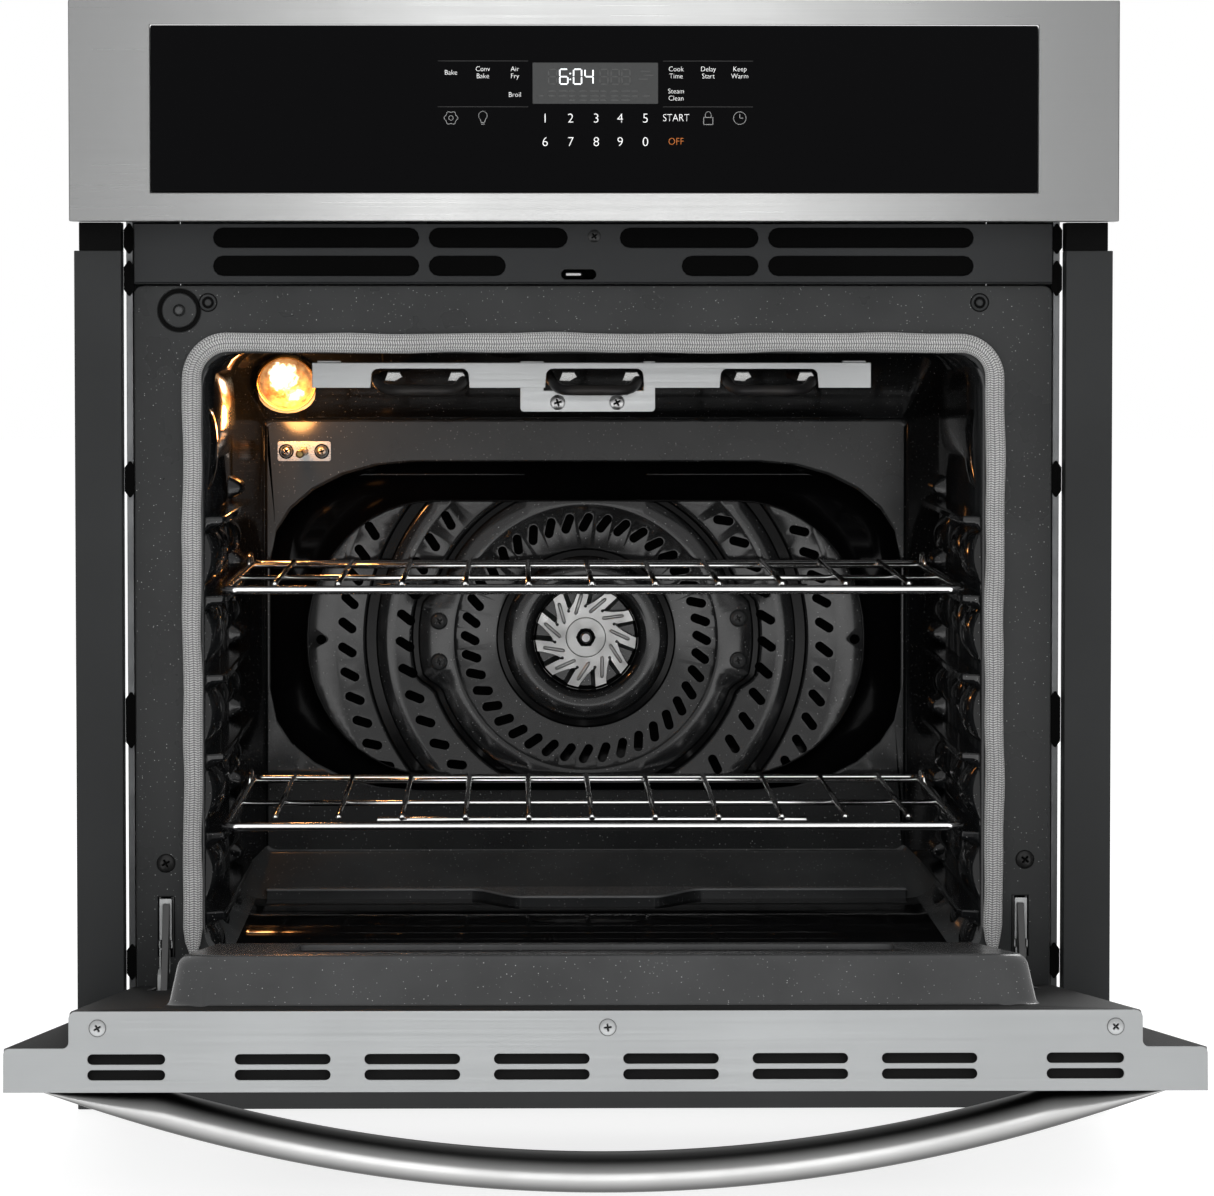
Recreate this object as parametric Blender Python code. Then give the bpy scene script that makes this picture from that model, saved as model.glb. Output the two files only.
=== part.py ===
"""Built-in electric wall oven, door open. Metres, +Z up, front towards -Y.

The origin is the centre of the chassis base's underside. The door is modelled closed and
its pivot empty turns it to the open rest position.
"""

import math

import bmesh
import bpy
from mathutils import Matrix, Vector

# Driving dimensions
FULL_HALF = 0.343  # half width of the control panel and of the door's outer skin
HEIGHT = 0.731
BODY_HALF = 0.310  # half width of the chassis that enters the cabinet
BODY_TOP = 0.716
FRAME_Y = -0.290  # front plane of the cavity frame, and of the chassis
BACK_Y = 0.290
FACE_Y = -0.3445  # outer face of the control panel and of the closed door
TRIM_Y = -0.3165  # front plane of the cabinet trims
SHEET = 0.0015  # sheet metal
CLEAR = 0.0003  # gap between touching pieces

PANEL_LOW = 0.587
GLASS_HALF = 0.2896
GLASS_LOW, GLASS_HIGH = 0.606, 0.7146

CAVITY_HALF = 0.260
CAVITY_LOW, CAVITY_HIGH = 0.0955, 0.5005
CAVITY_BACK = 0.160
CAVITY_CORNER = 0.022
RECESS_BACK = 0.182
FAN_Z = 0.286
BAFFLE_Y = 0.150

PIVOT = Vector((0, -0.3205, 0.060))
OPEN_ANGLE = 84.7  # degrees from closed
DOOR_LOW, DOOR_TOP = 0.034, 0.583
SKIN_BACK = -0.3195
LINER_LOW = 0.045
LINER_HALF = 0.306
FLANGE_Y = -0.2985  # inner flange of the closed door
PLUG_Y = -0.2685
HINGE_X = 0.2845

RACK_Z = {"upper": 0.342, "lower": 0.183}
RACK_HALF = 0.247
RACK_FRONT, RACK_BACK = -0.262, 0.137
WIRE_FRONT, MIDDLE_BAR_Y = -0.2025, -0.0665
WIRE_PITCH = 0.0432
WIRE_COUNT = 11

BROIL_Z = 0.482
BROIL_PITCH = 0.0595
BROIL_FRONT = -0.212

LAMP = Vector((-0.2207, 0.1323, 0.4757))
LAMP_AXIS = Vector((0, -1, -1)).normalized()

SWITCH_X, SWITCH_Z = -0.2746, 0.529
BLOWER_Y, BLOWER_Z = 0.0, 0.625

MATERIALS = {
    "brushed_steel": ((0.62, 0.62, 0.61), 0.32, 1.0),
    "bright_steel": ((0.75, 0.75, 0.74), 0.22, 1.0),
    "galvanised": ((0.66, 0.67, 0.68), 0.45, 1.0),
    "charcoal_paint": ((0.045, 0.047, 0.048), 0.55, 0.0),
    "grey_paint": ((0.055, 0.058, 0.06), 0.5, 0.0),
    "enamel": ((0.04, 0.044, 0.047), 0.28, 0.0),
    "black_glass": ((0.008, 0.008, 0.009), 0.06, 0.0),
    "dark_glass": ((0.02, 0.02, 0.022), 0.05, 0.0),
    "light_steel": ((0.55, 0.57, 0.58), 0.4, 0.6),
    "chrome": ((0.8, 0.8, 0.8), 0.12, 1.0),
    "fibreglass": ((0.27, 0.27, 0.26), 0.95, 0.0),
    "heater_tube": ((0.03, 0.03, 0.032), 0.5, 0.3),
    "ceramic": ((0.75, 0.73, 0.68), 0.6, 0.0),
    "clear_glass": ((0.9, 0.85, 0.75), 0.08, 0.0),
    "black_plastic": ((0.015, 0.015, 0.016), 0.45, 0.0),
    "circuit_green": ((0.02, 0.12, 0.05), 0.5, 0.0),
    "wool": ((0.62, 0.58, 0.45), 0.95, 0.0),
    "brass": ((0.55, 0.42, 0.2), 0.35, 1.0),
}


# ---------------------------------------------------------------- tools


def clear_scene():
    for obj in list(bpy.data.objects):
        bpy.data.objects.remove(obj)


def material(slot):
    found = bpy.data.materials.get(slot)
    if found:
        return found
    colour, roughness, metallic = MATERIALS[slot]
    made = bpy.data.materials.new(slot)
    made.use_nodes = True
    shader = made.node_tree.nodes["Principled BSDF"]
    shader.inputs["Base Color"].default_value = (*colour, 1)
    shader.inputs["Roughness"].default_value = roughness
    shader.inputs["Metallic"].default_value = metallic
    return made


def finish_mesh(name, bm, slot, smooth=False):
    mesh = bpy.data.meshes.new(name)
    bm.to_mesh(mesh)
    bm.free()
    mesh.materials.append(material(slot))
    if smooth:
        mesh.shade_smooth()
        mesh.set_sharp_from_angle(angle=math.radians(35))
    obj = bpy.data.objects.new(name, mesh)
    bpy.context.collection.objects.link(obj)
    return obj


def at(axis, along, u, v):
    """A point whose coordinate along the axis is given, and u, v on the other two in order."""
    return {"x": (along, u, v), "y": (u, along, v), "z": (u, v, along)}[axis]


def add_prism(bm, axis, low, high, outline, holes=()):
    """A flat shape with holes, extruded from low to high along an axis."""
    rings = []
    edges = []
    for loop in (outline, *holes):
        near = [bm.verts.new(at(axis, low, u, v)) for u, v in loop]
        far = [bm.verts.new(at(axis, high, u, v)) for u, v in loop]
        edges += [bm.edges.new(pair) for pair in zip(near, near[1:] + near[:1])]
        rings.append((near, far))
    other = {a: b for near, far in rings for a, b in zip(near, far)}
    cap = bmesh.ops.triangle_fill(bm, use_beauty=True, edges=edges)["geom"]
    new_faces = [f for f in cap if isinstance(f, bmesh.types.BMFace)]
    for face in new_faces[:]:
        new_faces.append(bm.faces.new([other[v] for v in reversed(face.verts)]))
    for near, far in rings:
        turned = near[1:] + near[:1]
        for a, b in zip(near, turned):
            new_faces.append(bm.faces.new((a, b, other[b], other[a])))
    bmesh.ops.recalc_face_normals(bm, faces=new_faces)


def prism(name, slot, axis, low, high, outline, holes=(), smooth=False):
    bm = bmesh.new()
    add_prism(bm, axis, low, high, outline, holes)
    return finish_mesh(name, bm, slot, smooth)


def rectangle(u0, v0, u1, v1):
    return [(u0, v0), (u1, v0), (u1, v1), (u0, v1)]


def rounded(u0, v0, u1, v1, ru, rv=None, steps=4):
    """A rectangle with elliptical corners, anticlockwise."""
    rv = ru if rv is None else rv
    points = []
    centres = ((u1 - ru, v0 + rv), (u1 - ru, v1 - rv), (u0 + ru, v1 - rv), (u0 + ru, v0 + rv))
    for quarter, (cu, cv) in enumerate(centres):
        for step in range(steps + 1):
            turn = math.pi / 2 * (quarter - 1 + step / steps)
            points.append((cu + ru * math.cos(turn), cv + rv * math.sin(turn)))
    return points


def circle(u, v, radius, count=24):
    turns = [2 * math.pi * i / count for i in range(count)]
    return [(u + radius * math.cos(t), v + radius * math.sin(t)) for t in turns]


def box(name, slot, low, high):
    bm = bmesh.new()
    add_prism(bm, "z", low[2], high[2], rectangle(low[0], low[1], high[0], high[1]))
    return finish_mesh(name, bm, slot)


def boxes(name, corners):
    """Several separate blocks in one mesh, for cutting or adding."""
    bm = bmesh.new()
    for low, high in corners:
        add_prism(bm, "z", low[2], high[2], rectangle(low[0], low[1], high[0], high[1]))
    return finish_mesh(name, bm, "bright_steel")


def change(obj, tool, operation):
    """Cuts the tool from the object, or joins it on, and hides the tool."""
    modifier = obj.modifiers.new(tool.name, "BOOLEAN")
    modifier.operation = operation
    modifier.object = tool
    tool.hide_render = True
    tool.display_type = "WIRE"


def frame_along(direction):
    """Two unit vectors square to a direction."""
    side = Vector((0, 0, 1)) if abs(direction.z) < 0.9 else Vector((1, 0, 0))
    u = direction.cross(side).normalized()
    return u, direction.cross(u).normalized()


def add_sweep(bm, points, radius, sides=8, closed=False):
    """A round tube along a run of points."""
    points = [Vector(p) for p in points]
    count = len(points)
    rings = []
    u = None
    for i, point in enumerate(points):
        before = points[i - 1] if i or closed else point
        after = points[(i + 1) % count] if i + 1 < count or closed else point
        direction = (after - before).normalized()
        if u is None:
            u, _ = frame_along(direction)
        u = (u - direction * u.dot(direction)).normalized()
        v = direction.cross(u)
        turns = [2 * math.pi * (k + 0.5) / sides for k in range(sides)]
        rings.append([bm.verts.new(point + radius * (u * math.cos(t) + v * math.sin(t))) for t in turns])
    faces = []
    pairs = list(zip(rings, rings[1:])) + ([(rings[-1], rings[0])] if closed else [])
    for a, b in pairs:
        for k in range(sides):
            n = (k + 1) % sides
            faces.append(bm.faces.new((a[k], a[n], b[n], b[k])))
    if not closed:
        faces.append(bm.faces.new(rings[0]))
        faces.append(bm.faces.new(rings[-1]))
    bmesh.ops.recalc_face_normals(bm, faces=faces)


def sweep(name, slot, runs, radius, sides=8, closed=False):
    bm = bmesh.new()
    for points in runs:
        add_sweep(bm, points, radius, sides, closed)
    return finish_mesh(name, bm, slot, smooth=True)


def lathe(name, slot, profile, origin, axis, count=24, ring=False):
    """Turns a profile of (radius, distance) points about an axis; a ring's profile closes on itself."""
    bm = bmesh.new()
    axis = Vector(axis).normalized()
    u, v = frame_along(axis)
    rows = []
    for radius, along in profile:
        centre = Vector(origin) + axis * along
        if radius == 0:
            rows.append([bm.verts.new(centre)])
            continue
        turns = [2 * math.pi * k / count for k in range(count)]
        rows.append([bm.verts.new(centre + radius * (u * math.cos(t) + v * math.sin(t))) for t in turns])
    pairs = list(zip(rows, rows[1:])) + ([(rows[-1], rows[0])] if ring else [])
    for a, b in pairs:
        for k in range(count):
            n = (k + 1) % count
            corners = [a[k % len(a)], a[n % len(a)], b[n % len(b)], b[k % len(b)]]
            bm.faces.new(list(dict.fromkeys(corners)))
    bmesh.ops.recalc_face_normals(bm, faces=bm.faces[:])
    return finish_mesh(name, bm, slot, smooth=True)


def pressed_shell(name, slot, steps, outwards):
    """A sheet pressed through a run of (outline, y) steps, thickened outwards or inwards.

    Steps with equal point counts are joined by walls, and others by a flat ring.
    """
    bm = bmesh.new()
    rows = []
    for outline, y in steps:
        verts = [bm.verts.new((u, y, v)) for u, v in outline]
        edges = [bm.edges.new(pair) for pair in zip(verts, verts[1:] + verts[:1])]
        rows.append((verts, edges))
    for (a, a_edges), (b, b_edges) in zip(rows, rows[1:]):
        if len(a) != len(b):
            bmesh.ops.triangle_fill(bm, use_beauty=True, edges=a_edges + b_edges)
            continue
        for k in range(len(a)):
            n = (k + 1) % len(a)
            bm.faces.new((a[k], a[n], b[n], b[k]))
    bmesh.ops.recalc_face_normals(bm, faces=bm.faces[:])
    first = next(f for f in bm.faces if rows[0][1][0] in f.edges[:])
    middle = sum((v.co for v in rows[0][0]), Vector()) / len(rows[0][0])
    if first.normal.dot(middle - first.calc_center_median()) < 0:
        bmesh.ops.reverse_faces(bm, faces=bm.faces[:])
    obj = finish_mesh(name, bm, slot)
    solid = obj.modifiers.new("sheet", "SOLIDIFY")
    solid.thickness = SHEET
    solid.offset = -1 if outwards else 1
    solid.use_even_offset = True
    return obj


def empty(name, location):
    made = bpy.data.objects.new(name, None)
    made.location = location
    bpy.context.collection.objects.link(made)
    return made


def attach(pivot, objects):
    """Hangs pieces that are modelled in place on their joint's empty."""
    for obj in objects:
        obj.parent = pivot
        obj.location = -pivot.location


def sides(build):
    """Builds a left and a right piece: build(name suffix, -1 or +1)."""
    return [build("left", -1), build("right", 1)]


def mirrored(points, sign):
    turned = [(sign * u, v) for u, v in points]
    return turned if sign > 0 else turned[::-1]


# ---------------------------------------------------------------- chassis


def chassis():
    box("chassis_base", "galvanised", (-BODY_HALF, FRAME_Y + 0.0005, 0), (BODY_HALF, BACK_Y, SHEET))
    low, high = SHEET + CLEAR, BODY_TOP - SHEET - CLEAR
    box("chassis_top", "galvanised", (-BODY_HALF, -0.283, high + CLEAR), (BODY_HALF, BACK_Y, BODY_TOP))
    inner = BODY_HALF - SHEET - CLEAR
    box("chassis_back", "galvanised", (-inner, BACK_Y - SHEET, low), (inner, BACK_Y, high))

    def side(suffix, sign):
        flange = BODY_HALF - 0.0045
        front = FRAME_Y + 0.0055
        profile = [
            (BODY_HALF, front), (BODY_HALF, BACK_Y), (BODY_HALF - SHEET, BACK_Y),
            (BODY_HALF - SHEET, front + SHEET), (flange, front + SHEET), (flange, front),
        ]
        return prism(f"chassis_{suffix}_side", "galvanised", "z", low, high, mirrored(profile, sign))

    sides(side)
    box("lower_front_panel", "charcoal_paint", (-0.304, FRAME_Y + 0.002, 0.0025), (0.304, FRAME_Y + 0.0032, 0.0695))


def trims():
    inner, outer, back, wall = 0.3112, 0.342, FRAME_Y, 0.0012
    low, high = 0.066, 0.5855

    def trim(suffix, sign):
        profile = [
            (inner, TRIM_Y), (outer, TRIM_Y), (outer, back), (0.320, back), (0.320, back - wall),
            (outer - wall, back - wall), (outer - wall, TRIM_Y + wall), (inner + wall, TRIM_Y + wall),
            (inner + wall, back - 0.0005), (inner, back - 0.0005),
        ]
        return prism(f"side_trim_{suffix}", "charcoal_paint", "z", low, high, mirrored(profile, sign))

    sides(trim)
    top, rear = 0.0215, FRAME_Y - 0.0005
    profile = [
        (TRIM_Y, CLEAR), (rear, CLEAR), (rear, CLEAR + wall), (TRIM_Y + wall, CLEAR + wall),
        (TRIM_Y + wall, top - wall), (TRIM_Y + 0.018, top - wall), (TRIM_Y + 0.018, top), (TRIM_Y, top),
    ]
    prism("bottom_trim", "charcoal_paint", "x", -outer, outer, profile)


def control_panel():
    frame = box("control_panel_frame", "brushed_steel", (-FULL_HALF, FACE_Y, PANEL_LOW), (FULL_HALF, TRIM_Y, HEIGHT))
    hollow = box("panel_hollow", "brushed_steel", (-FULL_HALF + SHEET, FACE_Y + SHEET, PANEL_LOW + SHEET),
                 (FULL_HALF - SHEET, TRIM_Y + 0.01, HEIGHT - SHEET))
    window = box("panel_window", "brushed_steel", (-GLASS_HALF - CLEAR, FACE_Y - 0.01, GLASS_LOW - CLEAR),
                 (GLASS_HALF + CLEAR, FACE_Y + 0.01, GLASS_HIGH + CLEAR))
    change(frame, hollow, "DIFFERENCE")
    change(frame, window, "DIFFERENCE")
    glass_back = FACE_Y + 0.0042
    box("control_glass", "black_glass", (-GLASS_HALF, FACE_Y + 0.0002, GLASS_LOW), (GLASS_HALF, glass_back, GLASS_HIGH))
    box("display_module", "black_plastic", (-0.046, glass_back + CLEAR, 0.657), (0.042, FACE_Y + 0.014, 0.694))
    box("control_board", "circuit_green", (-0.2, FACE_Y + 0.0145, 0.617), (0.2, FACE_Y + 0.0161, 0.704))

    support = box("panel_support", "galvanised", (-0.3095, TRIM_Y + CLEAR, PANEL_LOW + 0.0015),
                  (0.3095, FRAME_Y + 0.005, BODY_TOP - 0.003))
    inside = box("support_hollow", "galvanised", (-0.308, TRIM_Y + 0.0018, PANEL_LOW + 0.003),
                 (0.308, FRAME_Y + 0.02, BODY_TOP - 0.0045))
    change(support, inside, "DIFFERENCE")


def vent_slots():
    """Slot outlines of the cooling vent, both sides alike, and the latch's opening."""
    upper, lower = (0.5704, 0.5836), (0.5518, 0.565)
    spans = [(0.0173, 0.1091, upper), (0.1155, 0.2517, upper), (0.0583, 0.1091, lower), (0.1155, 0.2517, lower)]
    found = [rounded(-0.0215, 0.5495, 0.0015, 0.556, 0.002, steps=1)]
    for start, end, (low, high) in spans:
        radius = (high - low) / 2 - 0.0001
        found.append(rounded(start, low, end, high, radius, steps=3))
        found.append(rounded(-end, low, -start, high, radius, steps=3))
    return found


def vent_and_latch():
    prism("vent_strip", "grey_paint", "y", -0.296, -0.2948, rectangle(-0.304, 0.547, 0.304, 0.586), vent_slots())
    box("latch_housing", "galvanised", (-0.06, -0.2935, 0.5568), (0.04, -0.255, 0.580))
    pivot = empty("latch_pivot", (-0.010, -0.270, 0.5528))
    low, high = 0.5518, 0.5538
    hook = [
        (-0.0065, -0.266), (-0.0135, -0.266), (-0.0155, -0.272), (-0.0185, -0.2965), (-0.0085, -0.2965),
        (-0.0085, -0.2935), (-0.0145, -0.292), (-0.0065, -0.272),
    ]
    attach(pivot, [prism("latch_hook", "bright_steel", "z", low, high, hook)])


# ---------------------------------------------------------------- cavity


def cavity_outline(grow=0.0):
    return rounded(-CAVITY_HALF - grow, CAVITY_LOW - grow, CAVITY_HALF + grow, CAVITY_HIGH + grow,
                   CAVITY_CORNER + grow)


def recess_outline():
    return rounded(-0.234, 0.1726, 0.234, 0.4166, 0.110, 0.072, steps=6)


def baffle_outline(inset=0.0):
    """The fan cover's rounded oblong: long arches at the ends, small curves at the corners."""
    half_u, half_v = 0.2075 - inset, 0.103 - inset
    return rounded(-half_u, FAN_Z - half_v, half_u, FAN_Z + half_v, 0.095 - inset, 0.0995 - inset, steps=6)


def cavity():
    front = cavity_outline()
    back = rounded(-0.239, 0.126, 0.239, 0.448, 0.005)
    steps = [
        (front, FRAME_Y + 0.0018), (front, 0.110), (back, CAVITY_BACK), (recess_outline(), CAVITY_BACK),
        (recess_outline(), RECESS_BACK), (circle(0, FAN_Z, 0.012, 12), RECESS_BACK),
    ]
    liner = pressed_shell("cavity_liner", "enamel", steps, outwards=True)
    ledges = []
    for z in RACK_Z.values():
        for low, high in ((-CAVITY_HALF - 0.0008, -0.2445), (0.2445, CAVITY_HALF + 0.0008)):
            ledges.append(((low, -0.2665, z - 0.0090), (high, 0.100, z - 0.0034)))
    change(liner, boxes("rack_ledges", ledges), "UNION")

    holes = [cavity_outline(), circle(SWITCH_X, SWITCH_Z, 0.0125, 16)]
    for sign in (-1, 1):
        low, high = sorted((sign * 0.2792, sign * 0.2902))
        holes.append(rectangle(low, 0.0985, high, 0.139))
    prism("cavity_front_frame", "enamel", "y", FRAME_Y, FRAME_Y + SHEET, rounded(-0.3045, 0.070, 0.3045, 0.5455, 0.006),
          holes)

    outer = rectangle(-0.2765, 0.065, 0.2765, 0.5160)
    inner = rectangle(-0.2630, 0.0815, 0.2630, 0.5035)
    prism("insulation_wrap", "wool", "y", FRAME_Y + 0.004, 0.150, outer, [inner])


def gasket():
    """Woven rope round the top and sides of the opening, flattened against the frame."""
    x, top, bend, low = 0.2665, 0.5075, 0.0235, 0.100
    arch = rounded(-x, -1.0, x, top, bend, steps=6)
    upper = [(u, v) for u, v in arch if v > 0]
    run = [(x, low), (x, 0.22), (x, 0.35), *upper, (-x, 0.35), (-x, 0.22), (-x, low)]
    rope = sweep("door_gasket", "fibreglass", [[(u, 0, v) for u, v in run]], 0.0065)
    rope.data.transform(Matrix.Diagonal((1, 0.0037 / 0.0065, 1, 1)))
    rope.location.y = FRAME_Y - 0.0042


def fan():
    cover = prism("fan_baffle", "enamel", "y", BAFFLE_Y, RECESS_BACK - 0.0005, baffle_outline())
    change(cover, prism("baffle_hollow", "enamel", "y", BAFFLE_Y + 0.0012, RECESS_BACK + 0.01, baffle_outline(0.0012)),
           "DIFFERENCE")
    change(cover, prism("baffle_mouth", "enamel", "y", BAFFLE_Y - 0.01, BAFFLE_Y + 0.01, circle(0, FAN_Z, 0.042)),
           "DIFFERENCE")

    pivot = empty("fan_axis", (0, 0.165, FAN_Z))
    blades = 14
    rim = []
    for blade in range(blades):
        for radius, offset in ((0.018, -0.32), (0.0375, -0.06), (0.0375, 0.42), (0.018, 0.18)):
            turn = 2 * math.pi * (blade + offset) / blades
            rim.append((radius * math.cos(turn), FAN_Z + radius * math.sin(turn)))
    wheel = prism("fan_impeller", "bright_steel", "y", 0.1600, 0.1740, rim, [circle(0, FAN_Z, 0.0045, 12)])
    nut = 0.0062
    shaft = lathe("fan_shaft", "bright_steel",
                  [(0, 0), (0.0025, 0), (0.0040, 0.0010), (0.0040, 0.0020), (nut, 0.0022), (nut, 0.0072),
                   (0.0040, 0.0074), (0.0040, 0.075), (0, 0.075)],
                  (0, 0.1522, FAN_Z), (0, 1, 0), 12)
    attach(pivot, [wheel, shaft])
    prism("fan_motor", "galvanised", "y", 0.1855, 0.245, circle(0, FAN_Z, 0.045), [circle(0, FAN_Z, 0.0045, 12)],
          smooth=True)


def serpentine(x0, pitch, legs, front, back, z, dip=0.0):
    """A run of legs joined by half-turns, the front ones dipping a little."""
    points = []
    radius = pitch / 2
    for leg in range(legs):
        x = x0 + leg * pitch
        forward = leg % 2 == 0
        start, end = (back - radius, front + radius) if forward else (front + radius, back - radius)
        if leg == 0:
            start = back + 0.01
        if leg == legs - 1:
            end = back + 0.01
        points += [(x, start, z), (x, end, z)]
        if leg == legs - 1:
            break
        for step in range(1, 6):
            turn = math.pi * step / 6
            reach = radius * math.sin(turn) * (-1 if forward else 1)
            drop = dip * math.sin(turn) if forward else 0
            points.append((x + radius * (1 - math.cos(turn)), end + reach, z - drop))
    return points


def heaters():
    x0 = -2.5 * BROIL_PITCH
    broil = serpentine(x0, BROIL_PITCH, 6, BROIL_FRONT, 0.112, BROIL_Z, dip=0.007)
    sweep("broil_element", "heater_tube", [broil], 0.0032)
    bake = serpentine(-0.20, 0.08, 6, -0.24, 0.12, 0.0880)
    sweep("bake_element", "heater_tube", [bake], 0.0030, 6)

    low, high, half, notch_top = 0.4764, 0.4935, 0.0358, 0.4900
    outline = [(-0.1905, low)]
    for loop in (-1, 0, 1):
        centre = loop * 2 * BROIL_PITCH
        outline += [(centre - half, low), (centre - half, notch_top), (centre + half, notch_top), (centre + half, low)]
    outline += [(0.1905, low), (0.1905, high), (-0.1905, high)]
    prism("broil_support_bar", "bright_steel", "y", -0.1900, -0.1888, outline)
    plate = [(-0.046, 0.4600), (0.046, 0.4600), (0.046, 0.4945), (half, 0.4945), (half, 0.4755), (-half, 0.4755),
             (-half, 0.4945), (-0.046, 0.4945)]
    prism("broil_bracket_plate", "bright_steel", "y", -0.1915, -0.1903, plate)


def lamp_and_sensor():
    base = LAMP + LAMP_AXIS * 0.0068
    lathe("light_socket", "ceramic", [(0.0065, 0), (0.0213, 0), (0.0213, 0.004), (0.0065, 0.004)], base, LAMP_AXIS,
          20, ring=True)
    dome = 0.0200
    start = 0.0043
    arcs = [math.pi / 2 * k / 5 for k in range(6)]
    outer = [(dome * math.cos(t), start + 0.9 * dome * math.sin(t)) for t in arcs[:-1]] + [(0, start + 0.9 * dome)]
    inner = [((dome - 0.002) * math.cos(t), start + 0.78 * dome * math.sin(t)) for t in arcs[:-1]]
    inner += [(0, start + 0.78 * dome)]
    lathe("light_lens", "clear_glass", inner[::-1] + outer, base, LAMP_AXIS, 20)
    lathe("light_bulb", "clear_glass", [(0, 0.0004), (0.005, 0.0004), (0.005, 0.0120), (0.003, 0.0150), (0, 0.0155)],
          base, LAMP_AXIS, 12)
    box("sensor_plate", "bright_steel", (-0.2290, CAVITY_BACK - 0.0018, 0.4175), (-0.1895, CAVITY_BACK - CLEAR, 0.4322))
    lathe("sensor_probe", "brass", [(0, 0), (0.0022, 0), (0.0030, 0.001), (0.0030, 0.082), (0, 0.082)],
          (-0.2095, 0.0755, 0.4247), (0, 1, 0), 12)


def door_switch():
    front = FRAME_Y - CLEAR
    profile = [(0.0037, -0.0018), (0.0149, -0.0018), (0.0149, 0), (0.0120, 0.0001), (0.0120, 0.020), (0, 0.020),
               (0, 0.0185), (0.0037, 0.0185)]
    lathe("switch_body", "black_plastic", profile[5::-1] + profile[:5:-1], (SWITCH_X, front, SWITCH_Z), (0, 1, 0), 16)
    pivot = empty("switch_axis", (SWITCH_X, front, SWITCH_Z))
    pin = [(0, -0.0062), (0.0022, -0.0062), (0.0032, -0.0050), (0.0032, 0.0130), (0, 0.0130)]
    attach(pivot, [lathe("switch_plunger", "grey_paint", pin, (SWITCH_X, front, SWITCH_Z), (0, 1, 0), 12)])


def rack(level, z):
    """A wire rack: a thick rim, a bar under the wires' front ends and another across, and long wires."""
    corner = 0.016
    rim = rounded(-RACK_HALF, RACK_FRONT, RACK_HALF, RACK_BACK, corner, steps=3)
    frame = sweep(f"{level}_rack", "chrome", [[(u, v, z) for u, v in rim]], 0.0027, 6, closed=True)
    wire_z, bar_z = z + 0.0019, z - 0.0010
    wires = []
    first = -(WIRE_COUNT - 1) / 2 * WIRE_PITCH
    for wire in range(WIRE_COUNT):
        x = first + wire * WIRE_PITCH
        wires.append([(x, WIRE_FRONT, wire_z), (x, RACK_BACK + 0.001, wire_z)])
    long_wires = sweep(f"{level}_wires", "chrome", wires, 0.0017, 6)
    spans = ((-first - 1.6 * WIRE_PITCH, WIRE_FRONT + 0.003), (RACK_HALF, MIDDLE_BAR_Y))
    bars = [[(-half, y, bar_z), (half, y, bar_z)] for half, y in spans]
    cross_bars = sweep(f"{level}_bars", "chrome", bars, 0.0019, 6)
    change(long_wires, cross_bars, "UNION")
    change(frame, long_wires, "UNION")
    attach(empty(f"{level}_rack_slide", (0, RACK_FRONT, z)), [frame, long_wires, cross_bars])


# ---------------------------------------------------------------- hinges


def hinge_arms():
    y, z = PIVOT.y, PIVOT.z
    eye = 0.009
    turns = [math.radians(a) for a in (180, 225, 270, 315, 360)]
    outline = [(y + eye * math.cos(t), z + eye * math.sin(t)) for t in turns]
    outline += [(-0.2920, 0.1005), (-0.2400, 0.1020), (-0.2400, 0.1345), (-0.2960, 0.1345), (-0.3260, 0.0720)]

    def arm(suffix, sign):
        low, high = sorted((sign * (HINGE_X - 0.0022), sign * (HINGE_X + 0.0022)))
        return prism(f"hinge_arm_{suffix}", "bright_steel", "x", low, high, outline, [circle(y, z, 0.0045, 12)])

    def receiver(suffix, sign):
        a, b, wall, front, back = HINGE_X - 0.0050, HINGE_X + 0.0050, 0.0014, FRAME_Y + 0.0022, -0.2350
        profile = [(a, front), (a + wall, front), (a + wall, back - wall), (b - wall, back - wall), (b - wall, front),
                   (b, front), (b, back), (a, back)]
        return prism(f"hinge_receiver_{suffix}", "bright_steel", "z", 0.098, 0.139, mirrored(profile, sign))

    sides(arm)
    sides(receiver)


def door_hinge_parts():
    def channel(suffix, sign):
        a, b, wall = HINGE_X - 0.0060, HINGE_X + 0.0060, 0.0012
        front, back = FACE_Y + 0.0045, FLANGE_Y - 0.0022
        profile = [(a, back), (a, front), (b, front), (b, back), (b - wall, back), (b - wall, front + wall),
                   (a + wall, front + wall), (a + wall, back)]
        return prism(f"hinge_channel_{suffix}", "galvanised", "z", 0.0475, 0.300, mirrored(profile, sign))

    def pin(suffix, sign):
        start = (sign * (HINGE_X - 0.0044), PIVOT.y, PIVOT.z)
        return lathe(f"hinge_pin_{suffix}", "bright_steel", [(0, 0), (0.004, 0), (0.004, 0.0088), (0, 0.0088)], start,
                     (sign, 0, 0), 12)

    return sides(channel) + sides(pin)


# ---------------------------------------------------------------- door


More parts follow.
